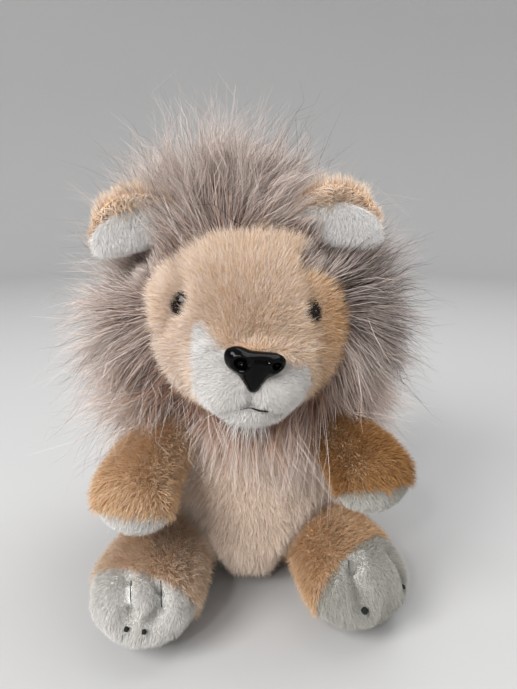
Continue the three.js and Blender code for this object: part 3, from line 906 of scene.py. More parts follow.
# %% The head's skin
EYES = {"left": np.array((-28.2, -40.6, 129.6)), "right": np.array((26.8, -41.8, 126.6))}
VALLEYS = {
    "left": np.array([(-28, -31, 145), (-26, -38.5, 138), (-25.8, -41, 132), (-29.5, -40.8, 125.5),
                      (-34, -38, 118.5)]),
    "right": np.array([(20.3, -33, 148), (22.6, -38.5, 139.6), (25.6, -41.8, 130), (28.2, -41.5, 121.8),
                       (32, -39, 114)]),
}
CREASE = np.array([(-17, -42, 99), (-18, -43.5, 104), (-17, -45, 110), (-12.5, -48, 115), (-8, -50.5, 116.5)])


def drawn_in(p, n):
    """Sunk for the pile's own thickness, less beside the muzzle, and more in the valleys and at the eyes."""
    by_muzzle = 0.85 * (1 - step(distance_to(["muzzle_shell"], p), 0.8, 5))
    by = -2.9 + 3.4 * np.maximum(by_muzzle, bell(near_line(CREASE, p), 5.5))
    for side in SIDES:
        by -= 2.4 * bell(near_line(VALLEYS[side], p), 4.5)
        by -= 1.6 * bell(far_from(EYES[side], p), 5.0)
    return by


head = skin_from("head_skin", ["head_shell", "head_filling"], 1.6)
plumped(head, ["muzzle_shell", "mane", "torso_shell", "ear_left_back", "ear_right_back", "nose"], 0.8)
pushed(head, drawn_in)

# %% The muzzle's skin
GROOVE = np.array([(1.8, -57.5, 101), (1.2, -57.5, 98), (0.9, -56.5, 95)])
MOUTH_SIDES = (np.array([(-1.5, -56.3, 94), (-7, -54.5, 91), (-11, -51, 88)]),
               np.array([(3.5, -56.3, 94), (9, -54.5, 91), (13, -50.5, 88)]))
# middle, height and width of the two lobes and the chin
LOBES = (((-9.5, -55, 99), 2.0, 8), ((11.5, -54, 98), 1.8, 8), ((1.0, -54, 88), 1.2, 5))


def two_lobes(p, n):
    by = -2.0 - 2.2 * bell(near_line(GROOVE, p), 2.8)
    by -= 1.5 * sum(bell(near_line(crease, p), 2.6) for crease in MOUTH_SIDES)
    for lobe, high, wide in LOBES:
        by += high * bell(far_from(lobe, p), wide)
    by *= 1 - 0.45 * step(p[:, 2], 106, 112) * step(-p[:, 0], 4, 12)
    return by * step(distance_to(["head_shell"], p), 0.4, 4.5)


muzzle = skin_from("muzzle_skin", ["muzzle_shell", "muzzle_filling"], 1.0)
pushed(muzzle, two_lobes)

# %% [markdown]
# Where each kind of pile grows is worked out from the place on the face. The white of the muzzle rises
# beside the nose to a point on the left. The mane begins along a hairline round the face, which leaves the
# ears clear.

# %% Where white, tan and mane begin
FACE_MIDDLE = np.array((-1.5, 4, 118.0))
# the hairline's depth along Y at each angle round the face, in degrees from the right and up over the brow
HAIRLINE = [(0, -30.5), (20, -31.0), (30, -31.5), (38, -32.5), (46, -34.0), (55, -34.0), (62, -31.5),
            (75, -28.5), (100, -28), (125, -27), (150, -24), (165, -27), (182, -31), (200, -30), (220, -27),
            (320, -27), (342, -30)]


def muzzle_white(p):
    """1 where the cloth is white and 0 where it is tan. The seam has a point beside the nose, on the left."""
    top = np.interp(p[:, 0], [-18, -16.6, -14.1, -12.3, -10.1, -8.3, -6, 13, 18, 21],
                    [122.0, 123.6, 120.8, 118.5, 116.7, 115.5, 113, 111, 107, 101])
    left = np.interp(p[:, 2], [93, 96, 99, 103, 107, 111, 115, 119, 124],
                     [-9.5, -12.9, -15.5, -17.5, -18.8, -19.2, -19, -18.2, -16.8])
    return (step(top - p[:, 2], -0.7, 0.7) * step(p[:, 0] - left, -0.7, 0.7) * step(-p[:, 0], -20.6, -19.6)
            * step(-p[:, 1], 30, 35))


def white_here(p):
    """The muzzle's own cloth is white below the nose's middle, and above it as far as the seam says."""
    return np.where(p[:, 2] > 108, muzzle_white(p), 1.0)


def ring_of(p):
    """Outward way, distance and angle of each point round the face, seen from the front."""
    flat = (p - FACE_MIDDLE) * (1, 0, 1)
    far = np.linalg.norm(flat, axis=1)
    return flat / (far[:, None] + 1e-9), far, np.degrees(np.arctan2(flat[:, 2], flat[:, 0])) % 360


def read_round(table, angle):
    """Reads a table of angles and values that starts again after a full turn."""
    angles, values = zip(*table)
    return np.interp(angle, angles + (360,), values + values[:1])


def ears_clear(p, right_at=57, right_half=19):
    """0 in front of the ears, where mane hair would hide them, and 1 elsewhere."""
    angle = ring_of(p)[2]
    right, left = beside(angle, right_at, right_half, right_half + 6), beside(angle, 153, 10, 15)
    return 1 - np.maximum(right, left) * step(-p[:, 1], 6, 9)


def hairline(p):
    """0 on the face and 1 where the mane begins, which lies further forward above the right cheek."""
    return step(p[:, 1] - read_round(HAIRLINE, ring_of(p)[2]), -2.0, 2.0) * ears_clear(p, 67, 11)


# %% The face's shades and the way its pile lies
NOSE_TOP = (2, -62, 109)
OVER_NOSE = (0, -0.75, -0.65)  # the way the pile hangs over the nose's top edge
EYE_SLITS = {"left": np.array([(-24.8, -40.5, 135.2), (-32.0, -40.0, 124.0)]),
             "right": np.array([(25.2, -41.0, 132.2), (28.8, -41.5, 121.4)])}


def face_tone_with_painted_shade(p, n):
    """Pale brow, left cheek paler as painted light, golden bridge, painted shade on golden right and valleys.
    """
    # painted shade: the right side is darker, over a real golden tone
    golden = 0.06 * bell(far_from((4, -52, 118), p), 13) + 0.42 * step(p[:, 0], 16, 36)
    # painted light: the left side is paler
    golden -= 0.14 * step(-p[:, 0], 10, 26)
    for side in SIDES:
        # painted shade in both valleys, over a real golden tone
        golden += 0.3 * bell(near_line(VALLEYS[side], p), 5)
        outside = (9 * np.sign(EYES[side][0]), 5, -1)
        golden += 0.25 * bell(far_from(outside, p - EYES[side]), 8)
    return 0.06 + golden


def eye_room(p):
    """0 where an eye looks out between the fur, in a slanting slit."""
    return np.prod([step(near_line(EYE_SLITS[side], p), 1.7, 2.7) for side in SIDES], 0)


def near_eyes(p):
    return sum(bell(near_line(EYE_SLITS[side], p), 5.5) for side in SIDES)


def face_lay(p, n):
    """Combed away from the nose, but over the nose's own top edge."""
    close = step(-distance_to(["nose"], p), -4.5, -1.0)[:, None] * step(p[:, 2], 113, 116)[:, None]
    out = away_from(NOSE_TOP)(p, n)
    out /= np.linalg.norm(out, axis=1, keepdims=True)
    return out * (1 - close) + np.array(OVER_NOSE) * close


def off_nose(p):
    return step(distance_to(["nose"], p), 0.0, 0.3)


# %% Comb and clothe head and muzzle
comb(head, face_lay, tone=face_tone_with_painted_shade,
     pile=lambda p, n: (0.72 + 0.38 * step(np.hypot(p[:, 0], p[:, 2] - 112), 14, 40))
     * (1 - 0.6 * near_eyes(p)),
     thick=lambda p, n: (1 - hairline(p)) * (1 - muzzle_white(p)) * eye_room(p)
     * free_of(["muzzle_shell"], p, 0.0, 0.1))
comb(muzzle, lambda p, n: away_from(NOSE_TOP)(p, n) + (0, 0, -4),
     pile=lambda p, n: 0.7 + 0.5 * step(-p[:, 2], -92, -84) + 0.4 * step(-p[:, 0], 10, 16),
     thick=lambda p, n: free_of(["head_shell"], p, 0.1, 0.5) * step(near_line(GROOVE, p), 0.4, 1.0)
     * off_nose(p) * white_here(p))
clothed(head, "tan", "head", 0.9, "head_shell", "head_filling")
clothed(muzzle, "white", "head", 0.8, "muzzle_shell", "muzzle_filling")

# %% Tan pile of the face
FACE_PILE = {"Width": 0.2, "Per_square_mm": 12, "Tone_spread": 0.8, "Points": 2}
grow("face_pile", head, "tan", "head", FACE_PILE, Length=4, Lean=0.36, Bend=0.25, Stray=0.4, Uneven=0.3,
     Tuft_size=2.5, Tuft_pull=0.05, Tuft_stray=0.06, Seed=41)
# painted highlight: sparse long fibres over the pile, paler than it so that they glint
grow("face_long_fibres", head, "tan", "head", Length=5.4, Width=0.16, Per_square_mm=0.7, Lean=0.45, Bend=0.3,
     Stray=0.5, Uneven=0.3, Tuft_stray=0.1, Tone_shift=-0.25, Tone_spread=0.3, Points=4, Seed=43)
spots = points_of(muzzle.data) / mm
bridge = patch_of(muzzle, "bridge", thick=(1 - white_here(spots)) * off_nose(spots),
                  tone=face_tone_with_painted_shade(spots, None), lay=np.tile(OVER_NOSE, (len(spots), 1)))
grow("bridge_pile", bridge, "tan", "head", FACE_PILE, Length=3.4, Lean=0.4, Stray=0.36, Seed=47)
bpy.data.objects.remove(bridge)

# %% White nap of the cheeks and the muzzle
white_on_head = patch_of(head, "white_on_head", thick=muzzle_white(points_of(head.data) / mm))
grow("cheek_nap", white_on_head, "white", "head", Length=3.4, Width=0.22, Per_square_mm=14, Lean=0.35,
     Stray=0.28, Tuft_pull=0.05, Tone_spread=0.3, Points=2, Seed=45)
bpy.data.objects.remove(white_on_head)
grow("muzzle_nap", muzzle, "white", "head", NAP, Length=2.4, Per_square_mm=16, Tuft_size=2, Tuft_pull=0.05,
     Tone_spread=0.15, Seed=51)

# %% Longer white hair under the chin
x, y, z = (points_of(muzzle.data) / mm).T
under_chin = step(-z, -90, -86) * step(-y, 40, 46) * beside(x, -2, 6, 11)
long_chin = patch_of(muzzle, "long_chin", thick=under_chin)
grow("chin_hair", long_chin, "white", "head", Length=8.5, Width=0.2, Per_square_mm=1.6, Lean=0.5, Bend=0.2,
     Stray=0.35, Uneven=0.35, Tuft_pull=0.3, Droop=0.2, Wave=0.3, Tone_spread=0.4, Points=5, Seed=53)
bpy.data.objects.remove(long_chin)

# %% [markdown]
# ## Nose and eyes
# The nose is one glossy black moulding: a broad bar with a round nostril at each end, running down to a
# rounded tip. It is drawn as an outline that swells towards its middle, with each nostril as a pit inside a
# raised ring. The eyes are small dark domes, half sunk in the pile. Domes, stems, washers and threads are
# all rings of points about a line, joined by bands of faces.

# %% Rings and bands
def circle(net, centre, axis, radius, count):
    """A ring of points about an axis, in metres."""
    side = np.cross(axis, (0.3, 1, 0.2))
    side /= np.linalg.norm(side)
    other = np.cross(axis, side)
    turns = np.linspace(0, 2 * math.pi, count, endpoint=False)
    return [net.verts.new(centre + radius * (math.cos(t) * side + math.sin(t) * other)) for t in turns]


def bands(net, rings):
    """Faces between each ring of points and the next."""
    for a, b in zip(rings, rings[1:]):
        for i in range(len(a)):
            k = (i + 1) % len(a)
            net.faces.new((a[i], a[k], b[k], b[i]))


def closed_piece(net, name):
    bmesh.ops.recalc_face_normals(net, faces=net.faces[:])
    return piece_of(net, name)


def tube(name, points, radii, count=10):
    """A closed round tube along a line of points, in metres."""
    net = bmesh.new()
    rings = []
    for i, (p, radius) in enumerate(zip(points, radii)):
        way = points[min(i + 1, len(points) - 1)] - points[max(i - 1, 0)]
        rings.append(circle(net, p, way / np.linalg.norm(way), radius, count))
    bands(net, rings)
    net.faces.new(rings[0][::-1])
    net.faces.new(rings[-1])
    return closed_piece(net, name)


# %% The nose's outline
NOSE_OUTLINE = [(-8.0, 113.8), (-6.8, 116.4), (-3.0, 117.3), (1.6, 115.7), (6.4, 115.2), (10.8, 114.6),
                (13.4, 112.6), (13.2, 109.6), (10.8, 107.2), (7.4, 105.6), (5.2, 102.6), (3.4, 100.4),
                (0.9, 100.4), (-1.0, 103.2), (-3.2, 106.8), (-7.0, 110.0)]
NOSE_MIDDLE = np.array((2.6, 111.0))
NOSE_RIM, NOSE_SWELL, NOSE_BACK = -54.6, 4.2, -53.2  # the rim along Y, how far it swells, and its flat back
NOSTRILS = ((np.array((-2.0, 111.8)), 3.2), (np.array((10.3, 110.6)), 2.3))  # middle and size


def smooth_loop(points, count):
    """A closed smooth curve through a loop of points."""
    points = np.array(points, float)
    out = []
    for k in range(count):
        s = k / count * len(points)
        i, t = int(s), s - int(s)
        a, b, c, d = (points[(i + j) % len(points)] for j in (-1, 0, 1, 2))
        out.append(0.5 * (2 * b + (c - a) * t + (2 * a - 5 * b + 4 * c - d) * t * t
                          + (3 * b - a - 3 * c + d) * t ** 3))
    return np.array(out)


def nose_front(xz, share):
    """How far forward the nose reaches at a place, when share is 0 in its middle and 1 at its rim."""
    y = NOSE_RIM - NOSE_SWELL * (1 - share ** 2.6) ** 0.5 - 0.5 * (xz[1] - 109) * 0.1
    for place, size in NOSTRILS:
        d = np.linalg.norm((xz - place) * (1, 1.1))
        y -= 1.3 * bell(d, 1.5 * size) * (1 - share ** 6)
        y -= 0.9 * bell(d - size, 0.8) * (1 - share ** 6)
        y += 3.6 * bell(d, 0.78 * size)
    return y


# %% The nose
def nose_shape(around=72, rings=20):
    outline = smooth_loop(NOSE_OUTLINE, around) - NOSE_MIDDLE
    net = bmesh.new()
    rows = [[net.verts.new(Vector((x, NOSE_BACK, z)) * mm) for x, z in NOSE_MIDDLE + outline * 0.94]]
    for r in range(rings, 0, -1):
        share = math.sin(r / rings * math.pi / 2)
        rows.append([net.verts.new(Vector((p[0], nose_front(p, share), p[1])) * mm)
                     for p in NOSE_MIDDLE + outline * share])
    tip = net.verts.new(Vector((NOSE_MIDDLE[0], nose_front(NOSE_MIDDLE, 0), NOSE_MIDDLE[1])) * mm)
    bands(net, rows)
    for i in range(around):
        net.faces.new((rows[-1][i], rows[-1][(i + 1) % around], tip))
    net.faces.new(rows[0][::-1])
    return closed_piece(net, "nose_shape")


GLOSS = {"bump": 0.05, "Scale": 700}
gloss_black = patterned("gloss_black", [(0.35, "010101"), (0.7, "030303")], 0.05, 0.12, **GLOSS)
nose = relaxed(nose_shape(), 2)
dressed(nose, gloss_black, "head", "gloss_black", "nose")
print("nose:", len(nose.data.polygons), "faces")

# %% The eyes
HEAD_MIDDLE, HEAD_HALF = np.array((0, -12, 118.0)), np.array((46, 38, 42.0))  # the head as an egg, in mm
# height and radius in mm, from the stem's end up to the top of the dome
EYE_ROWS = [(-7, 1.3), (-2.2, 1.3), (-2.0, 5.4), (-1.4, 5.6), (-0.8, 5.55), (-0.1, 5.2), (0.6, 4.4),
            (1.2, 3.2), (1.55, 2.0), (1.75, 0.8)]


def on_skin(skin, point, proud):
    """A point laid on a skin and a little proud of it, in metres."""
    place, normal, _, _ = surface_of(skin.data).find_nearest(Vector(point * mm))
    return np.array(place) + np.array(normal) * proud * mm


eye_brown = patterned("eye_brown", [(0.35, "0c0705"), (0.7, "24140c")], 0.08, 0.2, **GLOSS)
eye_seats = {}
for side in SIDES:
    outward = (EYES[side] - HEAD_MIDDLE) / HEAD_HALF ** 2
    outward /= np.linalg.norm(outward)
    centre = on_skin(head, EYES[side] - 4 * outward, 1.7)
    eye_seats[side] = centre, outward
    line = np.array([centre + outward * height * mm for height, _ in EYE_ROWS])
    dome = tube(f"eye_{side}_dome", line, [radius * mm for _, radius in EYE_ROWS], 28)
    dressed(dome, eye_brown, "head", "eye_brown", f"eye_{side}")
    print(f"eye {side} at", [round(c / mm, 1) for c in centre], "mm")

# %% [markdown]
# ## Threads
# The mouth and the toes are pulled in with plain black thread. Each thread lies in its groove as a thin
# round cord, and each claw is a small knot.

# %% Lay a thread on a skin
RAY_FROM = 60  # mm in front of the skin


def seen_on_skin(skin, line, way, proud):
    """A line of points laid on a skin along one way of looking, smoothed, and a little proud of it."""
    tree = surface_of(skin.data)
    way = np.asarray(way, float) / np.linalg.norm(way)
    out = []
    for p in line:
        place = tree.ray_cast(Vector((p - RAY_FROM * way) * mm), Vector(way))[0]
        out.append(np.array(place if place else p * mm))
    out = np.array(out)
    for _ in range(3):
        out[1:-1] = (out[:-2] + 2 * out[1:-1] + out[2:]) / 4
    return out - way * np.broadcast_to(proud, len(out))[:, None] * mm


black_thread = patterned("black_thread", [(0.2, "0a0b0a"), (0.9, "262a28")], 0.7, 0.3, bump=1.0,
                         pattern="ShaderNodeTexWave", Scale=900, Distortion=1.5)
black_thread.node_tree.nodes["Wave Texture"].bands_direction = "DIAGONAL"
print("thread finish:", black_thread.name)

# %% The mouth
MOUTH = np.array([(-2.4, -56.5, 93.2), (-0.8, -56.6, 93.7), (1.0, -56.6, 94.0), (3.2, -56.6, 93.6),
                  (5.4, -56.2, 92.9), (7.6, -55.6, 92.4)])
MOUTH_POINTS = 24
MOUTH_RADIUS = 0.34  # mm
places = np.linspace(0, len(MOUTH) - 1, MOUTH_POINTS)
fine = np.stack([np.interp(places, range(len(MOUTH)), axis) for axis in MOUTH.T], 1)
count = np.arange(MOUTH_POINTS)
path = seen_on_skin(muzzle, fine, (0, 1, 0), 0.7 + 0.9 * step(count, 8, 16))
mouth = tube("mouth_stitch", path, MOUTH_RADIUS * mm * (0.6 + 0.4 * step(count, 4, 16)))
dressed(mouth, black_thread, "head", "thread", "mouth_thread")
print("mouth stitch:", round(np.linalg.norm(np.diff(path, axis=0), axis=1).sum() / mm, 1), "mm long")

# %% Toe stitches and claws
STITCH_POINTS, STITCH_RADIUS = 14, 0.2 * mm
KNOT_RADIUS = {"left": 0.9, "right": 1.3}  # mm


def knot_shape(name, at, radius):
    """A small lumpy ball."""
    net = bmesh.new()
    bmesh.ops.create_icosphere(net, subdivisions=3, radius=radius * mm)
    for v in net.verts:
        v.co *= 1 + 0.18 * math.sin(9 * v.co.x / mm + 5 * v.co.z / mm) * math.cos(7 * v.co.y / mm)
        v.co += Vector(at)
    return piece_of(net, name)


for side in SIDES:
    foot, limb = bpy.data.objects[f"foot_{side}_skin"], f"leg_{side}"
    for where, (top, bottom, way, _, proud) in STITCHES[limb].items():
        path = seen_on_skin(foot, np.linspace(top, bottom, STITCH_POINTS), way, 0.25)
        stitch = tube(f"toe_stitch_{side}_{where}", path, [STITCH_RADIUS] * STITCH_POINTS)
        dressed(stitch, black_thread, limb, "thread", f"toe_thread_{side}_{where}")
        at = on_skin(foot, middle_of(f"toe_knot_{side}_{where}"), proud)
        knot = knot_shape(f"toe_claw_{side}_{where}", at, KNOT_RADIUS[side])
        dressed(knot, black_thread, limb, "thread", f"toe_knot_{side}_{where}")
        print(f"{side} foot, {where} toe: claw at", [round(c / mm, 1) for c in at], "mm")

# %% [markdown]
# ## Ears
# An ear is a tan cup with a puffy white lining. The lining is smaller than the back, and the back's pile
# stands past its edge as a thick, soft tan rim.

# %% Ears
EAR_LINES = {"left": ((-43, -12, 148.5), (-50, -19, 169)), "right": ((33.5, -14, 148), (35, -17, 173.5))}
OUTER = {"left": 1, "right": -1}  # which way along its hinge the ear's outer edge lies
EAR_SEAM = 1.0  # mm in front of the line from the ear's root to its tip


def ear_ways(side):
    """The root of an ear, and its ways up, across and forwards."""
    base, tip = (np.array(end, float) for end in EAR_LINES[side])
    along = (tip - base) / np.linalg.norm(tip - base)
    hinge = np.cross((0, -1, 0), along)
    hinge /= np.linalg.norm(hinge)
    front = np.cross(along, hinge)
    return base, along, hinge, front * -np.sign(front[1])


def drawn_smaller(lining, outer, base, along, hinge, front):
    """The lining gets shorter and puffier, and moves a little to the outer edge."""
    points = points_of(lining.data) / mm - base
    up, across, forward = points @ along, points @ hinge, points @ front
    up, across = 0.4 + (up - 0.4) * 0.7, across + 0.9 * outer
    forward = 1.1 + (forward - EAR_SEAM) * 1.2
    points = base + up[:, None] * along + across[:, None] * hinge + forward[:, None] * front
    set_points(lining.data, points * mm)


for side in SIDES:
    body, outer = f"ear_{side}", OUTER[side]
    base, along, hinge, front = ear_ways(side)
    whole = skin_from(f"{body}_whole", [f"{body}_back", f"{body}_lining"], 1.1, 20)
    seam = (base + front * EAR_SEAM) * mm
    back, lining = split_by(whole, seam, front, f"{body}_back_skin", f"{body}_lining_skin")
    drawn_smaller(lining, outer, base, along, hinge, front)
    pushed(back, lambda p, n: -1.8 * step(n @ along, -0.2, 0.6))
    comb(back, steady(along), pile=lambda p, n: 1 - 0.55 * step((p - base) @ hinge * outer, 9, 15), tone=0.16,
         thick=lambda p, n: step((p - base) @ along, 1, 4))
    comb(lining, steady(-0.8 * along), tone=0.1, thick=lambda p, n: step((p - base) @ front, 0.9, 1.6))
    clothed(back, "tan", body, 0.6, f"{body}_back")
    clothed(lining, "white", body, 0.6, f"{body}_lining")
    grow(f"{body}_pile", back, "tan", body, keep_cut=True, Length=4.8, Width=0.28, Per_square_mm=8, Lean=0.3,
         Stray=0.3, Tuft_size=3, Tuft_pull=0.05, Tone_spread=0.4, Points=3, Seed=61)
    grow(f"{body}_fluff", lining, "white", body, NAP, Length=2.2, Per_square_mm=18, Lean=0.4, Stray=0.2,
         Tuft_size=3, Seed=71)

# %% [markdown]
# ## Mane
# The mane is hair up to 40 mm long that starts at the hairline round the face and covers the back of the
# head. It is rooted in a closed undercoat that hugs the head. The hair flows outwards all round, sweeps
# down at the sides, lies over the arms in front and hangs over the chest. Each hair is as long as it takes
# to reach the mane's outer form, so the outline keeps its shape.

# %% How the mane's hair flows
CROWN = np.array((-1.5, 6, 158.0))
MANE_LEAN = 0.75


def mane_flow(p, n):
    out, _, angle = ring_of(p)
    down = step(0.55 - out[:, 2], 0, 1.2)
    ahead, low = step(-p[:, 1], -4, 10), step(-out[:, 2], 0.2, 0.7)
    flow = out.copy()
    sweep = 0.75 * down + 0.4 * step(-out[:, 2], -0.05, 0.35)
    flow[:, 2] -= sweep + 0.35 * beside(angle, 26, 8, 16) * step(-p[:, 1], 10, 20)
    flow[:, 1] -= 0.5 * low * ahead
    flow[:, 2] += 0.6 * low * ahead * step(np.abs(p[:, 0]), 18, 28)
    flow[:, 1] += 0.5 * beside(angle, 32, 14, 22) * step(-p[:, 1], 15, 22)
    fall = p - CROWN
    fall = 0.7 * fall / (np.linalg.norm(fall, axis=1, keepdims=True) + 1e-9) + 0.3 * out + (0, 0.75, 0)
    back = step(p[:, 1], 0, 22)[:, None]
    flow = flow * (1 - back) + fall * back
    x, y, z = p.T
    flow += 0.3 * np.stack([np.sin(x / 7 + z / 11), 0.6 * np.sin(y / 8 + x / 13), np.cos(z / 9 - x / 12)], 1)
    return flow / np.linalg.norm(flow, axis=1, keepdims=True)


# %% How long and how dark it is
# how far the mane's outer form lies from the face's middle, in mm, at each angle round the face
REACH = [(0, 65), (10, 67), (20, 66), (30, 58), (40, 56), (50, 59), (60, 67), (75, 62), (90, 63), (103, 74),
         (115, 69), (132, 67), (145, 66), (160, 64), (175, 72), (190, 71), (202, 68), (212, 68), (221, 73),
         (230, 64), (244, 58), (258, 56), (270, 55), (285, 56), (304, 58), (317, 65), (326, 68), (339, 63),
         (350, 64)]
MANE_BACK, MANE_HEM = 48, 54  # mm along Y and Z
SHORTEST, LONGEST = 8, 42  # mm
AT_THE_EARS = 6  # mm
FULL_LENGTH = 30  # mm, the length that a pile of 1 stands for


def mane_length(p, n):
    out, far, angle = ring_of(p)
    way = (1 - MANE_LEAN) * n + MANE_LEAN * mane_flow(p, n)
    way /= np.linalg.norm(way, axis=1, keepdims=True)
    sideways = (read_round(REACH, angle) - far) / np.maximum((way * out).sum(1), 0.3)
    behind = (MANE_BACK - p[:, 1]) / np.maximum(way[:, 1], 0.2)
    hem = np.where(p[:, 1] > 0, (p[:, 2] - MANE_HEM) / np.maximum(-way[:, 2], 0.2), 99)
    full = np.clip(np.minimum(np.minimum(sideways, behind), hem), SHORTEST, LONGEST)
    turn = np.radians(angle)
    full *= 1 + 0.09 * np.sin(13 * turn + p[:, 1] / 9) + 0.08 * np.sin(29 * turn - p[:, 1] / 6 + 1.7)
    return (full * ears_clear(p) + AT_THE_EARS * (1 - ears_clear(p))) / FULL_LENGTH


def mane_tone_with_painted_shade(p, n):
    """Warm and pale low in front, grey above, darkest above the right cheek, painted shade on the right."""
    out, _, angle = ring_of(p)
    front, top = step(-p[:, 1], 0, 15), step(p[:, 2], 150, 180)
    warm = step(-out[:, 2], 0.1, 0.8) * front
    # painted shade: the right side is darker
    return 0.38 - 0.3 * warm + 0.12 * top + 0.25 * bell(angle - 25, 30) * front + 0.12 * step(p[:, 0], 20, 45)


# %% The undercoat
undercoat = skin_from("mane_undercoat", ["mane"], 2.4, 20)
offset = points_of(undercoat.data) / mm - HEAD_MIDDLE
beyond = np.linalg.norm(offset / HEAD_HALF, axis=1, keepdims=True)
snug = np.where(beyond > 1.0, 0.96 + (beyond - 1.0) * 0.1, beyond * 0.96)
set_points(undercoat.data, (HEAD_MIDDLE + offset * snug / beyond) * mm)
relaxed(undercoat, 4)
comb(undercoat, mane_flow, pile=mane_length, tone=mane_tone_with_painted_shade,
     thick=lambda p, n: step(((p - HEAD_MIDDLE) / HEAD_HALF * n).sum(1), 0.0, 0.4)
     * (1 - 0.3 * step(p[:, 1], 5, 25)))
clothed(undercoat, "mane", "head", 0.4, "mane")

# %% Hair, guard hair and strays
for lock in range(4):
    grow(f"mane_hair_{lock + 1}", undercoat, "mane", "head", Length=FULL_LENGTH, Width=0.26,
         Per_square_mm=1.7, Lean=MANE_LEAN, Bend=0.0, Stray=0.26, Uneven=0.3, Tuft_size=5 + 2.5 * lock,
         Tuft_pull=0.55, Tuft_stray=0.34, Droop=0.05, Wave=0.95, Tone_spread=0.7, Points=5, Seed=81 + lock)
grow("mane_guard_hair", undercoat, "mane", "head", Length=33, Width=0.2, Per_square_mm=0.5, Lean=0.7,
     Bend=0.05, Stray=0.4, Uneven=0.3, Tuft_size=9, Tuft_pull=0.2, Tuft_stray=0.3, Droop=0.05, Wave=0.4,
     Tone_shift=0.5, Tone_spread=0.4, Points=6, Seed=87)
grow("mane_strays", undercoat, "mane", "head", Length=41, Width=0.2, Per_square_mm=0.14, Lean=0.6, Bend=0.1,
     Stray=0.5, Tuft_size=8, Tuft_pull=0.1, Tuft_stray=0.3, Droop=0.05, Wave=0.3, Tone_shift=0.5,
     Tone_spread=0.5, Points=12, Seed=91)

# %% [markdown]
# The first row of mane hair grows from the head's own skin, right where the face's short pile ends, so that
# no bare cloth shows between the two.

# %% The fringe
LOOSE_HAIR = {"Stray": 0.26, "Tuft_pull": 0.25, "Tuft_stray": 0.2, "Wave": 0.4, "Tone_spread": 0.7,
              "Points": 5}
fringe = patch_of(head, "fringe")
comb(fringe, mane_flow, tone=mane_tone_with_painted_shade,
     pile=lambda p, n: mane_length(p, n) * (0.55 + 0.45 * step(p[:, 1], -36, -26)),
     thick=lambda p, n: hairline(p) * step(-p[:, 1], 16, 20) * step(p[:, 2], 80, 86))
grow("mane_fringe", fringe, "mane", "head", LOOSE_HAIR, Length=27, Width=0.24, Per_square_mm=5,
     Lean=MANE_LEAN, Uneven=0.35, Tuft_size=6, Seed=93)
bpy.data.objects.remove(fringe)

# %% [markdown]
# A second panel of the same cloth is sewn on under the hood and hangs over the nape. It is drawn in to a
# slim roll round the neck, and its hair falls from there to the shoulders.

# %% The nape's panel
ROLL_WIDE, ROLL_DEEP, ROLL_HIGH = 42, 36, 79  # mm
nape = skin_from("nape_undercoat", ["mane_nape"], 1.8, 12)
points = points_of(nape.data) / mm
turn = np.arctan2(points[:, 1], points[:, 0])
roll = np.stack([ROLL_WIDE * np.cos(turn), ROLL_DEEP * np.sin(turn), np.full(len(turn), ROLL_HIGH)], 1)
set_points(nape.data, (points + 0.5 * (roll - points)) * mm)
comb(nape, lambda p, n: (0, 0.3, -0.85) + 0.5 * p * (1, 0, 0) / ROLL_WIDE, tone=0.42,
     pile=lambda p, n: np.clip((p[:, 2] - 55) / 22, 0.25, 1.1),
     thick=lambda p, n: step(p[:, 1] * n[:, 1] + p[:, 0] * n[:, 0], -4, 12))
clothed(nape, "mane", "head", 0.4, "mane_nape")
grow("nape_hair", nape, "mane", "head", LOOSE_HAIR, Length=22, Width=0.26, Per_square_mm=3.2, Lean=0.62,
     Bend=0.1, Uneven=0.3, Tuft_size=7, Droop=0.1, Seed=97)

# %% [markdown]
# Under the chin a bib of pale, warm hair hangs in clumps over the chest. It is rooted in the head's skin.

# %% The bib
bib = patch_of(head, "bib")
# the bib's tone 0 is the mane's warm end, darkened in part as painted shade under the chin
comb(bib, lambda p, n: (0, -0.3, -1) + 0.012 * p * (1, 0, 0), tone=0.04,
     pile=lambda p, n: 0.75 + 0.35 * beside(p[:, 0], 0, 0, 25),
     thick=lambda p, n: step(-p[:, 2], -93, -89) * step(-p[:, 1], 16, 22) * step(p[:, 1], -40, -34)
     * free_of(["muzzle_shell"], p, 1.5, 2.5))
grow("mane_bib", bib, "mane", "head", Length=21, Width=0.24, Per_square_mm=2.1, Lean=0.8, Bend=0.1,
     Stray=0.16, Uneven=0.4, Tuft_size=5, Tuft_pull=0.65, Tuft_stray=0.22, Wave=0.25, Tone_spread=0.55,
     Points=6, Seed=95)
bpy.data.objects.remove(bib)

# %% [markdown]
# ## Tail
# A thin tan tail with a tuft of mane hair lies behind the lion.

# %% Tail
TAIL_TIP = (46, 10, 6)
tail = skin_from("tail_skin", ["tail"], 0.9, 12)
comb(tail, toward(TAIL_TIP), thick=lambda p, n: free_of(["torso_shell", "tail_tuft"], p, 0.4, 1))
clothed(tail, "tan", "tail", 0.8, "tail")
grow("tail_pile", tail, "tan", "tail", Length=4, Width=0.32, Per_square_mm=6, Lean=0.6, Points=3, Seed=101)
tuft = skin_from("tail_tuft_core", ["tail_tuft"], 1.2, 12)
pushed(tuft, lambda p, n: np.full(len(p), -1.6))
comb(tuft, steady((0.25, -0.95, 0.1)), tone=0.45)
clothed(tuft, "mane", "tail", 0.5, "tail_tuft")
grow("tail_tuft_hair", tuft, "mane", "tail", Length=12, Width=0.36, Per_square_mm=4, Lean=0.75, Tuft_size=5,
     Tuft_pull=0.4, Tone_spread=0.6, Points=6, Seed=111)

# %% [markdown]
# ## Hidden pieces
# The washers that hold the eyes and the nose, and the pouch of beans, never show. They still get their real
# materials: pale moulded plastic, and plain woven cotton.

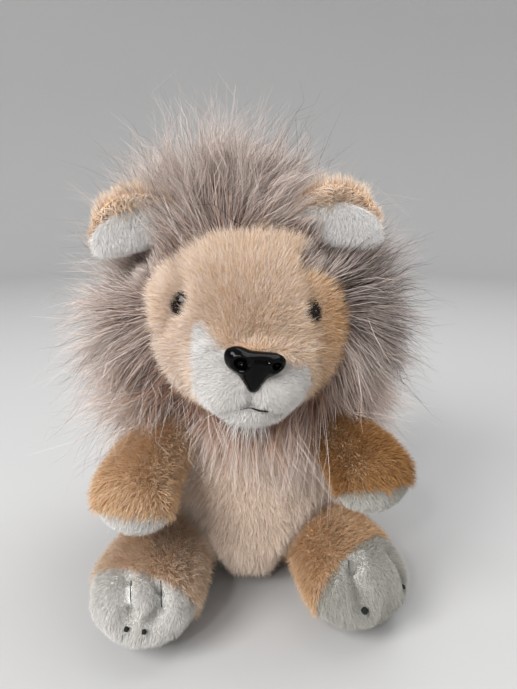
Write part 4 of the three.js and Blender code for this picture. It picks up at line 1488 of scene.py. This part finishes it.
# %% Washers and pouch
WASHER_HOLE, WASHER_RADIUS, WASHER_THICK = 1.5 * mm, 4.3 * mm, 1.2 * mm
WASHER_BEHIND = 4.4 * mm  # from the eye's seat


def washer(name, centre, axis):
    """A flat round ring about an axis."""
    net = bmesh.new()
    corners = ((WASHER_HOLE, -0.5), (WASHER_RADIUS, -0.5), (WASHER_RADIUS, 0.5), (WASHER_HOLE, 0.5))
    rings = [circle(net, centre + axis * height * WASHER_THICK, axis, radius, 28)
             for radius, height in corners]
    bands(net, rings + rings[:1])
    return closed_piece(net, name)


washer_plastic = patterned("washer_plastic", [(0.3, "d9d7d0"), (0.7, "eceae4")], 0.45, 0.4, Scale=300)
pouch_cotton = patterned("pouch_cotton", [(0.3, "c9c2b2"), (0.7, "e5dfd2")], 0.95, 0.4, Scale=1200)
coat(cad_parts["nose_washer"], washer_plastic)
coat(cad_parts["bean_pouch"], pouch_cotton)
for side in SIDES:
    centre, outward = eye_seats[side]
    disc = washer(f"eye_{side}_disc", centre - outward * WASHER_BEHIND, outward)
    dressed(disc, washer_plastic, "head", "washer", f"eye_{side}_washer")
print("hidden pieces: 3 washers and 1 pouch")

# %% [markdown]
# ## Floor and light
# A plain pale floor that curves up into a backdrop on all sides, like a wide bowl, so the lion can be
# looked at from anywhere. Soft light comes from the upper left, the front, behind and the sky. One small
# lamp gives the nose and the eyes their crisp lights.

# %% Floor
BEND_FROM, BEND_RADIUS, WALL_TOP = 1.1, 0.5, 1.3  # metres
AROUND = 96
profile = [(0.02, 0.0), (0.5, 0.0), (BEND_FROM, 0.0)]
profile += [(BEND_FROM + BEND_RADIUS * math.sin(t), BEND_RADIUS - BEND_RADIUS * math.cos(t))
            for t in np.linspace(0.1, math.pi / 2, 14)]
profile += [(BEND_FROM + BEND_RADIUS, WALL_TOP)]
net = bmesh.new()
rings = [[net.verts.new((r * math.cos(t), r * math.sin(t), z))
          for t in np.linspace(0, 2 * math.pi, AROUND, endpoint=False)] for r, z in profile]
bands(net, rings[::-1])
net.faces.new(rings[0])
floor = piece_of(net, "floor")
smooth(floor)
floor_finish, _, floor_shader = finish_named("floor_finish", 0.7, 0.2)
floor_shader.inputs["Base Color"].default_value = srgb("bcbbba")
coat(floor, floor_finish)
print("floor:", len(floor.data.polygons), "faces")

# %% Light
AIM = Vector((0, 0, 0.1))
LAMPS = {  # place and width in metres, and power in watts
    "key": ((-0.75, -0.7, 0.9), 0.6, 16),
    "window": ((-0.35, -0.9, 0.75), 0.1, 2.6),
    "fill": ((0.9, -0.7, 0.5), 1.0, 1.5),
    "back": ((0.3, 0.3, 1.1), 0.8, 6),
}
for name, (place, width, power) in LAMPS.items():
    lamp = link(bpy.data.lights.new(name, "AREA"), name)
    lamp.data.size = width
    lamp.data.energy = power
    lamp.location = place
    lamp.rotation_euler = (AIM - Vector(place)).to_track_quat("-Z", "Y").to_euler()
    lamp.visible_camera = False
world = bpy.data.worlds.new("sky")
world.use_nodes = True
world.node_tree.nodes["Background"].inputs["Color"].default_value = (0.93, 0.96, 1, 1)
world.node_tree.nodes["Background"].inputs["Strength"].default_value = 0.6
bpy.context.scene.world = world
bpy.context.scene.view_settings.view_transform = "Standard"
print("lamps:", ", ".join(LAMPS))
